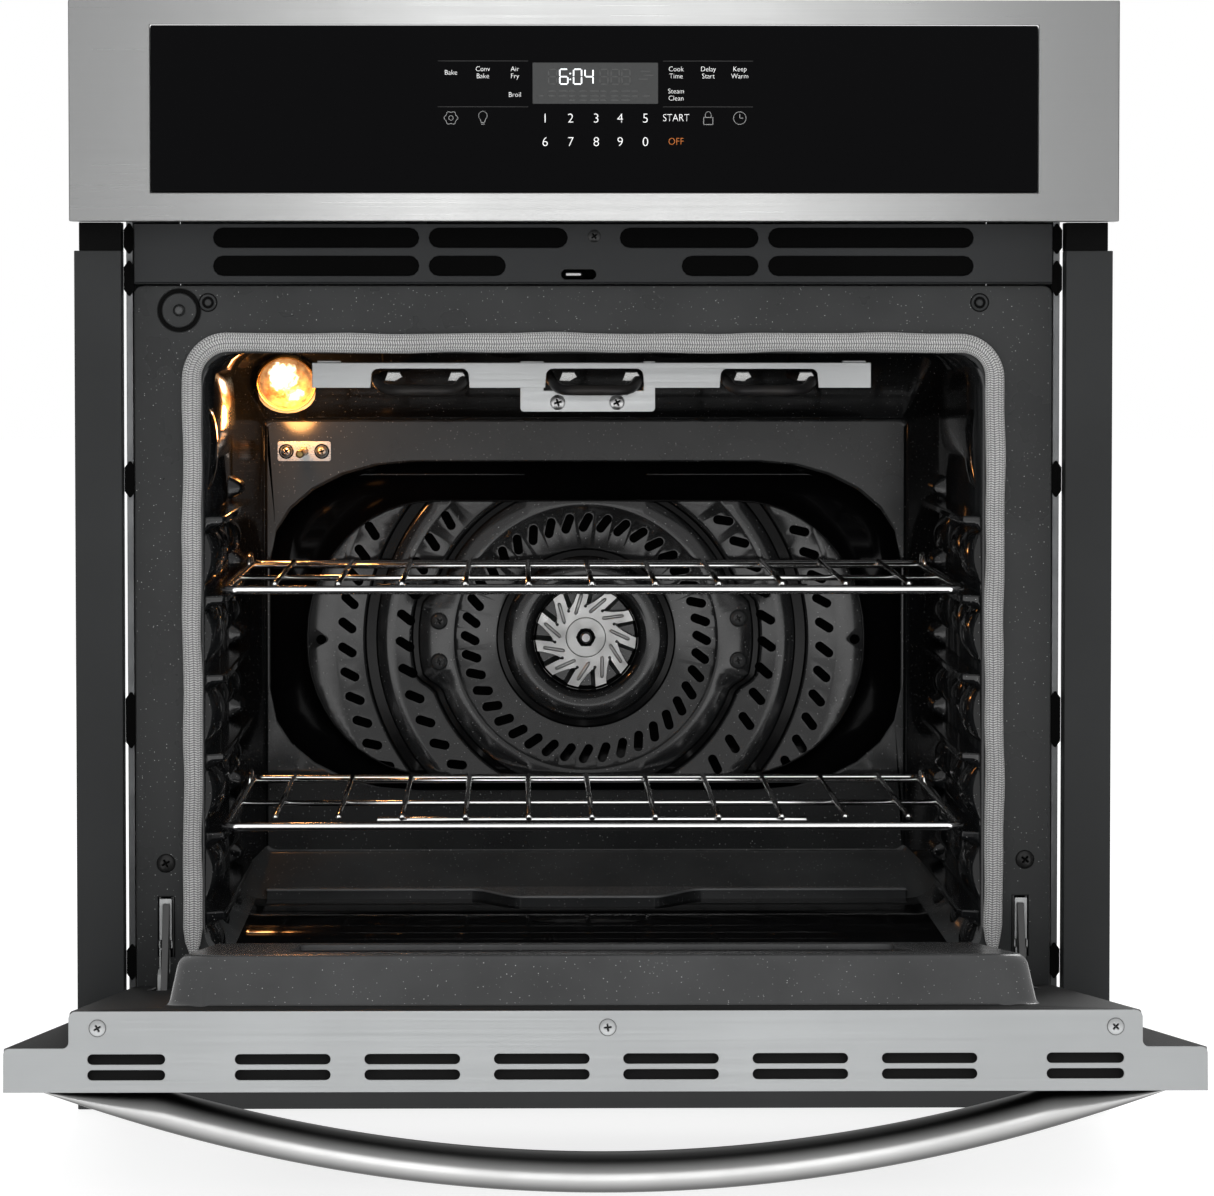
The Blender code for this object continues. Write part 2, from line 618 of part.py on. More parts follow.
def door_skin():
    top = DOOR_TOP - 0.0025
    skin = box("door_outer_skin", "brushed_steel", (-FULL_HALF, FACE_Y, DOOR_LOW), (FULL_HALF, SKIN_BACK, top))
    hollow = box("skin_hollow", "brushed_steel", (-FULL_HALF + SHEET, FACE_Y + SHEET, DOOR_LOW + SHEET),
                 (FULL_HALF - SHEET, SKIN_BACK - SHEET, top - SHEET))
    mouth = box("skin_mouth", "brushed_steel", (-0.300, SKIN_BACK - 0.005, LINER_LOW + 0.001),
                (0.300, SKIN_BACK + 0.01, top - 0.010))
    window = rounded(-0.2150, 0.1700, 0.2150, 0.4000, 0.008, steps=2)
    opening = prism("skin_window", "brushed_steel", "y", FACE_Y - 0.01, FACE_Y + 0.01, window)
    for tool in (hollow, mouth, opening):
        change(skin, tool, "DIFFERENCE")
    glass = rounded(-0.2146, 0.1704, 0.2146, 0.3996, 0.0078, steps=2)
    pane = prism("door_window_glass", "dark_glass", "y", FACE_Y + CLEAR, FACE_Y + 0.0043, glass)
    ring = prism("door_glass_retainer", "galvanised", "y", FACE_Y + 0.0046, FACE_Y + 0.0106,
                 rectangle(-0.2280, 0.1570, 0.2280, 0.4130), [rectangle(-0.2060, 0.1790, 0.2060, 0.3910)])
    return [skin, hollow, mouth, opening, pane, ring]


def door_liner():
    top = DOOR_TOP - 0.0025
    rim = rectangle(-LINER_HALF, LINER_LOW, LINER_HALF, top)
    plug_base = rounded(-0.2562, 0.1030, 0.2562, 0.4940, 0.0200)
    plug_top = rounded(-0.2500, 0.1120, 0.2500, 0.4850, 0.0170)
    window = rectangle(-0.1900, 0.1800, 0.1900, 0.4000)
    steps = [(rim, SKIN_BACK + CLEAR), (rim, FLANGE_Y), (plug_base, FLANGE_Y), (plug_top, PLUG_Y), (window, PLUG_Y)]
    liner = pressed_shell("door_inner_liner", "enamel", steps, outwards=False)
    slots = boxes("hinge_slots", [((-0.2908, -0.33, 0.040), (-0.2782, -0.29, 0.142)),
                                  ((0.2782, -0.33, 0.040), (0.2908, -0.29, 0.142))])
    change(liner, slots, "DIFFERENCE")
    pane = box("door_inner_glass", "dark_glass", (-0.1960, PLUG_Y - 0.0058, 0.1740), (0.1960, PLUG_Y - 0.0018, 0.4060))
    return [liner, slots, pane]


def door_cap():
    """The vented strip on the door's top end, wide over the skin and narrower over the liner."""
    low, high = DOOR_TOP - 0.0022, DOOR_TOP
    outline = [(-FULL_HALF, FACE_Y), (FULL_HALF, FACE_Y), (FULL_HALF, SKIN_BACK), (LINER_HALF + 0.002, SKIN_BACK),
               (LINER_HALF, SKIN_BACK + 0.002), (LINER_HALF, FLANGE_Y), (-LINER_HALF, FLANGE_Y),
               (-LINER_HALF, SKIN_BACK + 0.002), (-LINER_HALF - 0.002, SKIN_BACK), (-FULL_HALF, SKIN_BACK)]
    spans = [(0.0096 + 0.0737 * k, 0.0640 + 0.0737 * k) for k in range(3)] + [(0.2510, 0.2952)]
    slots = []
    for near in (PIVOT.y - 0.0171, PIVOT.y - 0.0082):
        for start, end in spans:
            slots.append(rectangle(start, near, end, near + 0.0059))
            slots.append(rectangle(-end, near, -start, near + 0.0059))
    return prism("door_cap", "light_steel", "z", low, high, outline, slots)


def door_handle():
    """A bow whose outer and inner edges are arches that spring from the door's face."""
    root = FACE_Y - CLEAR

    def arch(half, rise, count=20):
        xs = [half * (2 * k / count - 1) for k in range(count + 1)]
        return [(x, root - rise * (1 - (x / half) ** 2)) for x in xs]

    outline = arch(0.3285, 0.060) + arch(0.257, 0.0372)[::-1]
    return prism("door_handle", "brushed_steel", "z", 0.5150, 0.5410, outline)


def door():
    pivot = empty("door_pivot", PIVOT)
    attach(pivot, door_skin() + door_liner() + [door_cap(), door_handle()] + door_hinge_parts())
    pivot.rotation_euler = (math.radians(OPEN_ANGLE), 0, 0)


# ---------------------------------------------------------------- hidden services


def blower():
    low, high = (-0.130, -0.075, 0.560), (0.130, 0.065, 0.690)
    housing = box("blower_housing", "galvanised", low, high)
    inside = box("blower_hollow", "galvanised", (low[0] + SHEET, low[1] - 0.01, low[2] + SHEET),
                 tuple(c - SHEET for c in high))
    shaft_hole = prism("blower_shaft_hole", "galvanised", "x", 0.12, 0.14, circle(BLOWER_Y, BLOWER_Z, 0.008, 12))
    change(housing, inside, "DIFFERENCE")
    change(housing, shaft_hole, "DIFFERENCE")
    vanes = 18
    rim = []
    for vane in range(vanes):
        for radius, offset in ((0.030, -0.2), (0.042, 0.0), (0.042, 0.15), (0.030, 0.1)):
            turn = 2 * math.pi * (vane + offset) / vanes
            rim.append((BLOWER_Y + radius * math.cos(turn), BLOWER_Z + radius * math.sin(turn)))
    wheel = prism("blower_wheel", "black_plastic", "x", -0.115, 0.115, rim)
    axle = prism("blower_axle", "black_plastic", "x", 0.110, 0.175, circle(BLOWER_Y, BLOWER_Z, 0.004, 12))
    change(wheel, axle, "UNION")
    attach(empty("blower_axis", (0, BLOWER_Y, BLOWER_Z)), [wheel, axle])
    prism("blower_motor", "galvanised", "x", 0.1305, 0.185, circle(BLOWER_Y, BLOWER_Z, 0.035),
          [circle(BLOWER_Y, BLOWER_Z, 0.0045, 12)], smooth=True)


def wiring():
    low, high = (-0.220, BACK_Y + CLEAR, 0.600), (-0.120, BACK_Y + 0.035, 0.700)
    box("junction_box", "galvanised", low, high)
    lathe("conduit_connector", "bright_steel",
          [(0.0085, 0), (0.0140, 0), (0.0140, 0.006), (0.0115, 0.0062), (0.0115, 0.022), (0.0085, 0.022)],
          (-0.170, BACK_Y + 0.018, 0.600 - CLEAR), (0, 0, -1), 16, ring=True)


def main():
    clear_scene()
    chassis()
    trims()
    control_panel()
    vent_and_latch()
    cavity()
    gasket()
    fan()
    heaters()
    lamp_and_sensor()
    door_switch()
    for level, z in RACK_Z.items():
        rack(level, z)
    hinge_arms()
    door()
    blower()
    wiring()


main()
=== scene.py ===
import math

import bmesh
import bpy
from mathutils import Matrix, Vector


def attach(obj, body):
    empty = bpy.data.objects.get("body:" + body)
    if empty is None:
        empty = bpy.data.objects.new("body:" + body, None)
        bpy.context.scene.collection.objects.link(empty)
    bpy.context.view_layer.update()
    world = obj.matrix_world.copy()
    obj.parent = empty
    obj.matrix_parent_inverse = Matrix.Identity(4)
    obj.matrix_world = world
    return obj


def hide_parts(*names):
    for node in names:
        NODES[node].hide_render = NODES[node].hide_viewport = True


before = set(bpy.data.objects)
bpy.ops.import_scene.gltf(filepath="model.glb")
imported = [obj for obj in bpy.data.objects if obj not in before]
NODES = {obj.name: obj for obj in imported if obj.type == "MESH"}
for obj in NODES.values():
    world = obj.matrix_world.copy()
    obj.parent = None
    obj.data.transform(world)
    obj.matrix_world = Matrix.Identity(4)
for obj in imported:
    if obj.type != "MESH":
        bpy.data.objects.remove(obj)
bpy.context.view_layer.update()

# The looks of the wall oven: every piece is built in place, in metres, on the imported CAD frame.
# Door pieces are modelled closed and turned to the open rest position.

PIVOT = Vector((0, -0.3205, 0.060))
OPEN_ANGLE = math.radians(84.7)
DOOR_TURN = Matrix.Translation(PIVOT) @ Matrix.Rotation(OPEN_ANGLE, 4, "X") @ Matrix.Translation(-PIVOT)

PANEL_FACE = -0.3445  # outer face of the control panel and of the closed door
GLASS_FACE = -0.3443
FLANGE_Y = -0.2985  # the door liner's flat rim, with the door closed
LINER_HALF = 0.3060  # half width of the door liner
FRAME_Y = -0.290  # front plane of the cavity frame
WALL_X = 0.2604  # the side walls where ledges and swellings are pressed out
BAFFLE_Y = 0.150
FAN_Z = 0.286


# ---------------------------------------------------------------- materials


class Look:
    """One Principled material and the node graph that drives it."""

    def __init__(self, name, colour, roughness, metallic=0.0, **sockets):
        """Sockets are named as the shader names them, with _ for a space."""
        self.material = bpy.data.materials.new("look_" + name)
        self.material.use_nodes = True
        self.tree = self.material.node_tree
        self.shader = self.tree.nodes["Principled BSDF"]
        self.set("Base Color", (*colour, 1))
        self.set("Roughness", roughness)
        self.set("Metallic", metallic)
        for socket, value in sockets.items():
            self.set(socket.replace("_", " "), value)

    def set(self, socket, value):
        target = self.shader.inputs[socket]
        if isinstance(value, bpy.types.NodeSocket):
            self.tree.links.new(value, target)
        else:
            target.default_value = value
        return self

    def node(self, kind, inputs=(), **settings):
        made = self.tree.nodes.new("ShaderNode" + kind)
        for key, value in settings.items():
            setattr(made, key, value)
        for key, value in dict(inputs).items():
            if isinstance(value, bpy.types.NodeSocket):
                self.tree.links.new(value, made.inputs[key])
            else:
                made.inputs[key].default_value = value
        return made

    def place(self, scale=(1, 1, 1), source="Object"):
        """Surface coordinates, stretched."""
        coords = self.node("TexCoord").outputs[source]
        return self.node("Mapping", {"Vector": coords, "Scale": scale}).outputs["Vector"]

    def noise(self, vector, scale, detail=2.0, roughness=0.5):
        inputs = {"Vector": vector, "Scale": scale, "Detail": detail, "Roughness": roughness}
        return self.node("TexNoise", inputs).outputs["Fac"]

    def math(self, operation, a, b=0.0, clamp=False):
        return self.node("Math", {0: a, 1: b}, operation=operation, use_clamp=clamp).outputs[0]

    def spread(self, value, low, high, start=0.3, end=0.7, kind="LINEAR"):
        """Maps a value between start and end to low and high."""
        inputs = {"Value": value, "From Min": start, "From Max": end, "To Min": low, "To Max": high}
        return self.node("MapRange", inputs, interpolation_type=kind).outputs["Result"]

    def mix(self, factor, a, b):
        made = self.node("Mix", data_type="RGBA")
        for key, value in ((0, factor), (6, a), (7, b)):
            if isinstance(value, bpy.types.NodeSocket):
                self.tree.links.new(value, made.inputs[key])
            else:
                made.inputs[key].default_value = value if key == 0 else (*value, 1)
        return made.outputs[2]

    def bump(self, height, distance, strength=1.0):
        made = self.node("Bump", {"Height": height, "Distance": distance, "Strength": strength})
        return self.set("Normal", made.outputs["Normal"])


def shades(colour, amount):
    """A colour made darker and lighter by the same share."""
    return tuple(c * (1 - amount) for c in colour), tuple(min(c * (1 + amount), 1) for c in colour)


def brushed(name, colour, roughness, grain, metallic=1.0, contrast=0.06, shaded_ends=None):
    """Brushed metal: fine lines drawn out along the grain, cloudy, or painted darker towards its two ends so that its
    middle reads as a painted highlight.
    """
    look = Look(name, colour, roughness, metallic)
    lines = look.noise(look.place(grain), 1.0, 3.0)
    clouds = look.noise(look.place(), 14.0, 3.0)
    dark, light = shades(colour, contrast)
    tone = look.mix(look.spread(lines, 0, 1), dark, light)
    # Painted light: when ends are given, the colour fades along X from the full colour in the middle, a painted
    # highlight, to a darker tone at both ends, painted shade.
    if shaded_ends:
        across = look.node("SeparateXYZ", {"Vector": look.place()}).outputs[0]
        ends = look.spread(look.math("ABSOLUTE", across), 0, 1, 0.06, 0.33, "SMOOTHSTEP")
        tone = look.mix(ends, tone, shaded_ends)
    else:
        tone = look.mix(look.spread(clouds, 0, 0.35), tone, shades(colour, 0.05)[0])
    look.set("Base Color", tone)
    rough = look.spread(lines, roughness * 0.85, roughness * 1.2)
    look.set("Roughness", look.math("ADD", rough, look.spread(clouds, 0, 0.05)))
    look.bump(lines, 0.00003, 0.5)
    return look.material


def enamel(name, colour, roughness, gloss, specks=True, shade_depths=None):
    """Fired enamel: a smooth dark coat with fine white specks and a very slight orange peel.

    The last argument names two depths along Y between which the coat is painted nearly black, as painted shade in the
    pressed trenches.
    """
    look = Look(name, colour, roughness, Specular_IOR_Level=gloss)
    clouds = look.noise(look.place(), 22.0, 3.0)
    dark, light = shades(colour, 0.16)
    tone = look.mix(look.spread(clouds, 0, 1), dark, light)
    if specks:
        cells = look.node("TexVoronoi", {"Vector": look.place(), "Scale": 370.0})
        dots = look.spread(cells.outputs["Distance"], 1.0, 0.0, 0.04, 0.13)
        size = look.node("SeparateColor", {"Color": cells.outputs["Color"]}).outputs[0]
        dots = look.math("MULTIPLY", dots, look.spread(size, 0.05, 1.0, 0.1, 0.9), clamp=True)
        tone = look.mix(dots, tone, (0.55, 0.55, 0.55))
    # Painted shade: between the two depths along Y the coat darkens to near-black.
    if shade_depths:
        depth = look.node("SeparateXYZ", {"Vector": look.place()}).outputs[1]
        tone = look.mix(look.spread(depth, 0.0, 0.93, *shade_depths), tone, (0.001, 0.001, 0.001))
    look.set("Base Color", tone)
    look.set("Roughness", look.spread(clouds, roughness * 0.85, roughness * 1.2))
    peel = look.noise(look.place(), 260.0, 2.0)
    look.bump(peel, 0.00002, 0.25)
    return look.material


def painted(name, colour, roughness, gloss=0.3, grain=1400.0):
    """Powder coat: fine even texture, slightly cloudy."""
    look = Look(name, colour, roughness, Specular_IOR_Level=gloss)
    clouds = look.noise(look.place(), 9.0, 4.0)
    fine = look.noise(look.place(), grain, 2.0)
    dark, light = shades(colour, 0.12)
    look.set("Base Color", look.mix(look.spread(clouds, 0, 1), dark, light))
    look.set("Roughness", look.spread(fine, roughness * 0.9, roughness * 1.1))
    look.bump(fine, 0.00006, 0.35)
    return look.material


def galvanised(name, colour, roughness):
    """Zinc-coated sheet: soft-edged spangles in slightly different greys."""
    look = Look(name, colour, roughness, 1.0)
    warp = look.noise(look.place(), 30.0, 2.0)
    cells = look.node("TexVoronoi", {"Vector": look.place(), "Scale": 85.0}, feature="SMOOTH_F1")
    grey = look.node("SeparateColor", {"Color": cells.outputs["Color"]}).outputs[0]
    dark, light = shades(colour, 0.08)
    look.set("Base Color", look.mix(look.spread(grey, 0, 1, 0.1, 0.9), dark, light))
    rough = look.spread(grey, roughness * 0.88, roughness * 1.10)
    look.set("Roughness", look.math("ADD", rough, look.spread(warp, 0, 0.08)))
    look.bump(warp, 0.0002, 0.12)
    return look.material


def dull_zinc(name, colour):
    """Dull zinc plate: pale, nearly matt, with soft drawing marks."""
    look = Look(name, colour, 0.5, 0.25)
    lines = look.noise(look.place((900, 900, 60)), 1.0, 3.0)
    clouds = look.noise(look.place(), 160.0, 3.0)
    dark, light = shades(colour, 0.14)
    look.set("Base Color", look.mix(look.spread(clouds, 0, 1), dark, light))
    look.set("Roughness", look.spread(lines, 0.42, 0.58))
    look.bump(lines, 0.00004, 0.4)
    return look.material


def chrome(name, colour, roughness):
    """Bright plated wire: near-mirror, with faint cloudiness."""
    look = Look(name, colour, roughness, 1.0)
    clouds = look.noise(look.place(), 60.0, 3.0)
    dark, light = shades(colour, 0.08)
    look.set("Base Color", look.mix(look.spread(clouds, 0, 1), dark, light))
    look.set("Roughness", look.spread(clouds, roughness * 0.7, roughness * 1.6))
    return look.material


def braid(name):
    """Knitted fibreglass: rows of small slanted stitches that mirror from one row to the next."""
    look = Look(name, (0.2, 0.2, 0.2), 0.9, Sheen_Weight=0.3)
    split = look.node("SeparateXYZ", {"Vector": look.place(source="UV")})
    across, along = split.outputs[0], split.outputs[1]
    row_pitch, stitch_pitch = 0.0019, 0.0016
    rows = look.math("MULTIPLY", across, 1 / row_pitch)
    row_wave = look.math("PINGPONG", rows, 1.0)
    lean = look.math("MULTIPLY", row_wave, 0.55)
    steps = look.math("ADD", look.math("MULTIPLY", along, 1 / stitch_pitch), lean)
    stitch = look.math("PINGPONG", steps, 0.5)
    between_rows = look.math("ABSOLUTE", look.math("SUBTRACT", row_wave, 0.5))
    crown, gutter = look.spread(stitch, 0.15, 1.0, 0.05, 0.35), look.spread(between_rows, 1.0, 0.35, 0.3, 0.5)
    height = look.math("MULTIPLY", crown, gutter)
    fuzz = look.noise(look.place(), 900.0, 2.0)
    patches = look.noise(look.place(), 35.0, 2.0)
    height = look.math("MULTIPLY", height, look.spread(fuzz, 0.75, 1.1))
    # The stitch height also sets the colour, light on the crowns and near-black between stitches and rows: partly the
    # dark gaps of the knit, partly painted shade.
    tone = look.mix(height, (0.026, 0.026, 0.027), (0.57, 0.57, 0.565))
    look.set("Base Color", look.mix(look.spread(patches, 0, 0.2), tone, (0.12, 0.12, 0.12)))
    look.bump(height, 0.0006, 0.8)
    return look.material


def heater(name):
    """Oxidised heater sheath: near-black with a slight brown-blue heat tint."""
    look = Look(name, (0.02, 0.02, 0.021), 0.42, 0.35)
    clouds = look.noise(look.place(), 45.0, 4.0)
    blue, brown = (0.014, 0.014, 0.016), (0.035, 0.031, 0.028)
    look.set("Base Color", look.mix(look.spread(clouds, 0, 1), blue, brown))
    look.set("Roughness", look.spread(clouds, 0.32, 0.52))
    look.bump(look.noise(look.place(), 700.0, 2.0), 0.00008, 0.4)
    return look.material


def moulded(name, colour, roughness):
    """Moulded plastic or ceramic, with a fine even grain."""
    look = Look(name, colour, roughness)
    fine = look.noise(look.place(), 900.0, 2.0)
    look.set("Roughness", look.spread(fine, roughness * 0.85, roughness * 1.15))
    look.bump(fine, 0.00005, 0.3)
    return look.material


def glass_sheet(name, colour, roughness):
    """Dark printed glass: a smooth face with a barely visible wave."""
    look = Look(name, colour, roughness, Specular_IOR_Level=0.025)
    wave = look.noise(look.place(), 6.0, 2.0)
    look.set("Roughness", look.spread(wave, roughness * 0.7, roughness * 1.5))
    look.bump(wave, 0.0002, 0.05)
    return look.material


def printed(name, colour, glow=0.0):
    """Screen-printed ink, with a faint evenness flaw."""
    # Emission by glow: on the lit clock figures it is the display's own light; on the printed marks, the display
    # window and the unlit segments it is painted light that brightens them.
    look = Look(name, colour, 0.45, Emission_Color=(*colour, 1), Emission_Strength=glow)
    fine = look.noise(look.place(), 500.0, 2.0)
    dark, light = shades(colour, 0.05)
    look.set("Base Color", look.mix(look.spread(fine, 0, 1), dark, light))
    return look.material


def satin_shaded_bow(name, colour, roughness):
    """Satin bar with painted light and shade: the full colour along its crown as a painted sheen, painted darker
    towards its inner side and, less, towards its outer edge.

    UV y runs from the bar's outer side to its inner side.
    """
    look = Look(name, colour, roughness, 1.0)
    # Painted shade: across the section the colour darkens towards the inner side and towards the outer edge.
    across = look.node("SeparateXYZ", {"Vector": look.place(source="UV")}).outputs[1]
    inner = look.spread(across, 0, 1, 0.40, 0.84, "SMOOTHSTEP")
    outer = look.spread(across, 0, 1, 0.36, 0.02, "SMOOTHSTEP")
    dark, edge = tuple(c * 0.06 for c in colour), tuple(c * 0.22 for c in colour)
    tone = look.mix(outer, look.mix(inner, colour, dark), edge)
    clouds = look.noise(look.place(), 18.0, 3.0)
    look.set("Base Color", look.mix(look.spread(clouds, 0, 0.12), tone, dark))
    look.set("Roughness", look.spread(clouds, roughness * 0.92, roughness * 1.1))
    return look.material


HOT_SPOTS = (  # centre, and the radii where a spot starts and stops fading
    ((-0.2232, 0.1080, 0.4815), 0.0055, 0.0115),
    ((-0.2125, 0.1120, 0.4670), 0.0010, 0.0065),
)


def hot_glass(name):
    """The lit lens: two white-hot patches over the bulb and its reflector, in rippled amber glass."""
    look = Look(name, (0.9, 0.55, 0.25), 0.10, Specular_IOR_Level=0.7)
    ripple = look.noise(look.place(), 130.0, 4.0, 0.6)
    fine = look.noise(look.place((1, 1, 3)), 420.0, 2.0)
    spots = []
    for centre, inner, outer in HOT_SPOTS:
        gap = look.node("VectorMath", {0: look.place(), 1: centre}, operation="DISTANCE").outputs["Value"]
        gap = look.math("ADD", gap, look.spread(ripple, -0.0035, 0.0035))
        spots.append(look.spread(gap, 1.0, 0.0, inner, outer))
    heat = look.math("MAXIMUM", *spots)
    amber = look.mix(look.spread(ripple, 0, 1, 0.35, 0.62), (0.36, 0.10, 0.018), (1.0, 0.47, 0.15))
    amber = look.mix(look.spread(fine, 0, 0.2), amber, (1.0, 0.72, 0.40))
    tone = look.mix(heat, amber, (1.0, 0.86, 0.62))
    glare = look.math("MULTIPLY", look.math("POWER", heat, 2.0), 16.0)
    look.set("Emission Color", tone)
    look.set("Emission Strength", look.math("ADD", glare, 0.60))
    look.set("Base Color", tone)
    look.bump(ripple, 0.0015, 0.6)
    return look.material


RECIPES = {
    # colour, roughness, grain (stretch of the lines), metallic, contrast, colour of the painted shade at the two ends
    brushed: {
        # brushed_steel: painted highlight in its middle and painted shade at its ends along X.
        "brushed_steel": ((0.50, 0.503, 0.50), 0.30, (4, 400, 1800), 1.0, 0.06, (0.27, 0.272, 0.272)),
        "bright_steel": ((0.66, 0.66, 0.65), 0.24, (300, 900, 900), 1.0, 0.03),
        "light_steel": ((0.56, 0.572, 0.575), 0.42, (6, 900, 900), 0.75, 0.035),
        "cap_steel": ((0.375, 0.386, 0.390), 0.42, (6, 900, 900), 0.75, 0.03),
        # A dark copy of steel: painted shade on the hinge arms and receivers, and dark rings under the door cap's
        # screws.
        "arm_steel": ((0.16, 0.16, 0.16), 0.36, (300, 900, 300), 1.0, 0.05),
    },
    # handle_steel: painted sheen on the crown, painted shade towards the inner side and the outer edge.
    satin_shaded_bow: {"handle_steel": ((0.62, 0.62, 0.615), 0.30)},
    galvanised: {"galvanised": ((0.50, 0.51, 0.52), 0.50)},
    dull_zinc: {"zinc_plate": ((0.46, 0.47, 0.47),)},
    # colour, roughness, gloss, scale of the grain
    painted: {
        "charcoal_paint": ((0.017, 0.018, 0.0185), 0.5),
        "grey_paint": ((0.017, 0.018, 0.019), 0.45),
        "trim_paint": ((0.037, 0.038, 0.039), 0.45),
        "switch_grey": ((0.060, 0.061, 0.062), 0.45),
        # Near-black painted shade for the sheet behind the vent strip.
        "duct_black": ((0.002, 0.002, 0.002), 0.6, 0.02),
        "screw_dark": ((0.012, 0.012, 0.012), 0.35, 0.5),
        # Near-black for dark gaps and joints, and as painted shade in screw recesses, on the door skin's inner faces
        # and on the sheet behind the fan cover.
        "black_gap": ((0.003, 0.003, 0.003), 0.6, 0.04),
        # Near-black painted shade for the door liner's flat rim and the sheet under the door cap.
        "enamel_ledge": ((0.010, 0.010, 0.010), 0.55, 0.10),
        "wool": ((0.60, 0.55, 0.42), 0.95, 0.3, 260.0),
    },
    # colour, roughness, gloss, specks, depths where the coat is painted darker as shade
    enamel: {
        "enamel": ((0.022, 0.023, 0.0235), 0.30, 0.3),
        "enamel_door": ((0.044, 0.045, 0.046), 0.22, 0.55),
        "enamel_step": ((0.022, 0.023, 0.024), 0.16, 0.7),
        # A lighter tone for the cavity's slanted lower faces: painted light.
        "enamel_shelf": ((0.045, 0.047, 0.048), 0.20, 0.4),
        # Painted highlight: a light tone for the floor step's top faces and its front edge bead.
        "enamel_tread": ((0.150, 0.154, 0.157), 0.20, 0.5),
        # Fan cover enamel: its trenches painted darker with depth, as shade.
        "enamel_cover": ((0.012, 0.0125, 0.013), 0.13, 0.85, True, (BAFFLE_Y + 0.0022, BAFFLE_Y + 0.0040)),
        "enamel_back": ((0.018, 0.019, 0.0195), 0.14, 0.65),
        "enamel_inside": ((0.006, 0.0065, 0.007), 0.10, 0.75),
        "enamel_floor": ((0.003, 0.003, 0.0032), 0.07, 0.4, False),
        # Near-black: painted shade in the back wall's recess and on the fan cover's deep and side-facing faces, skirt
        # and mouth.
        "enamel_recess": ((0.002, 0.002, 0.0022), 0.10, 0.22, False),
    },
    glass_sheet: {
        "black_glass": ((0.003, 0.003, 0.0033), 0.06),
        "dark_glass": ((0.012, 0.012, 0.013), 0.05),
    },
    chrome: {
        "chrome": ((0.93, 0.93, 0.93), 0.12),
        "brass": ((0.62, 0.42, 0.17), 0.28),
        "zinc_screw": ((0.70, 0.70, 0.70), 0.26),
        "impeller_steel": ((0.80, 0.80, 0.79), 0.32),
    },
    moulded: {
        "ceramic": ((0.72, 0.70, 0.65), 0.5),
        "black_plastic": ((0.012, 0.012, 0.013), 0.4),
        "circuit_green": ((0.015, 0.10, 0.04), 0.4),
    },
    # colour, glow: the lit figures' own light on display_lit, painted light on the printed marks, the display window
    # and the unlit segments
    printed: {
        "mark_white": ((0.80, 0.80, 0.80), 0.2),
        "mark_grey": ((0.30, 0.30, 0.30), 0.05),
        "mark_dim": ((0.020, 0.020, 0.020), 0.05),
        "mark_orange": ((0.44, 0.125, 0.02), 0.1),
        "display_grey": ((0.030, 0.031, 0.031), 0.12),
        "display_lit": ((0.85, 0.88, 0.9), 0.8),
        "display_ghost": ((0.062, 0.063, 0.063), 0.12),
    },
    braid: {"fibreglass": ()},
    heater: {"heater_tube": ()},
    hot_glass: {"clear_glass": ()},
}
# A finished material for each of the record's slots, and a few for the added detail.


LOOKS = {name: make(name, *values) for make, table in RECIPES.items() for name, values in table.items()}


# ---------------------------------------------------------------- tools


def piece(name, bm, look, body="chassis", slot=None, replaces=(), angle=35, closed=False):
    """Makes a named piece from a bmesh and ties it to the frame."""
    mesh = bpy.data.meshes.new(name)
    bm.to_mesh(mesh)
    bm.free()
    looks = look if isinstance(look, (list, tuple)) else [look]
    for one in looks:
        mesh.materials.append(LOOKS[one])
    mesh.shade_smooth()
    mesh.set_sharp_from_angle(angle=math.radians(angle))
    if closed:
        mesh.transform(DOOR_TURN)
    obj = bpy.data.objects.new(name, mesh)
    bpy.context.collection.objects.link(obj)
    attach(obj, body)
    if replaces:
        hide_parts(*replaces)
    return obj


def soften_edges(obj, width, segments=2, angle=40):
    bevel = obj.modifiers.new("edges", "BEVEL")
    bevel.width = width
    bevel.segments = segments
    bevel.limit_method = "ANGLE"
    bevel.angle_limit = math.radians(angle)
    bevel.harden_normals = True
    return obj


def as_sheet(obj, thickness):
    """Gives an open shell the thickness of its sheet, behind its face."""
    solid = obj.modifiers.new("sheet", "SOLIDIFY")
    solid.thickness, solid.offset = thickness, -1
    return obj


def softened(node, look, width=0.0006, segments=2, body="chassis", slot=None):
    """A CAD node with rounded edges and a finished material."""
    bm = bmesh.new()
    bm.from_mesh(NODES[node].data)
    bm.transform(NODES[node].matrix_world)
    bmesh.ops.remove_doubles(bm, verts=bm.verts[:], dist=1e-6)
    bmesh.ops.dissolve_limit(bm, angle_limit=math.radians(1), verts=bm.verts[:], edges=bm.edges[:])
    made = piece(node + "_finished", bm, look, body, slot or look, (node,))
    return soften_edges(made, width, segments)


def at(axis, along, u, v):
    """A point given by its place along an axis and in the plane across it."""
    return {"x": (along, u, v), "y": (u, along, v), "z": (u, v, along)}[axis]


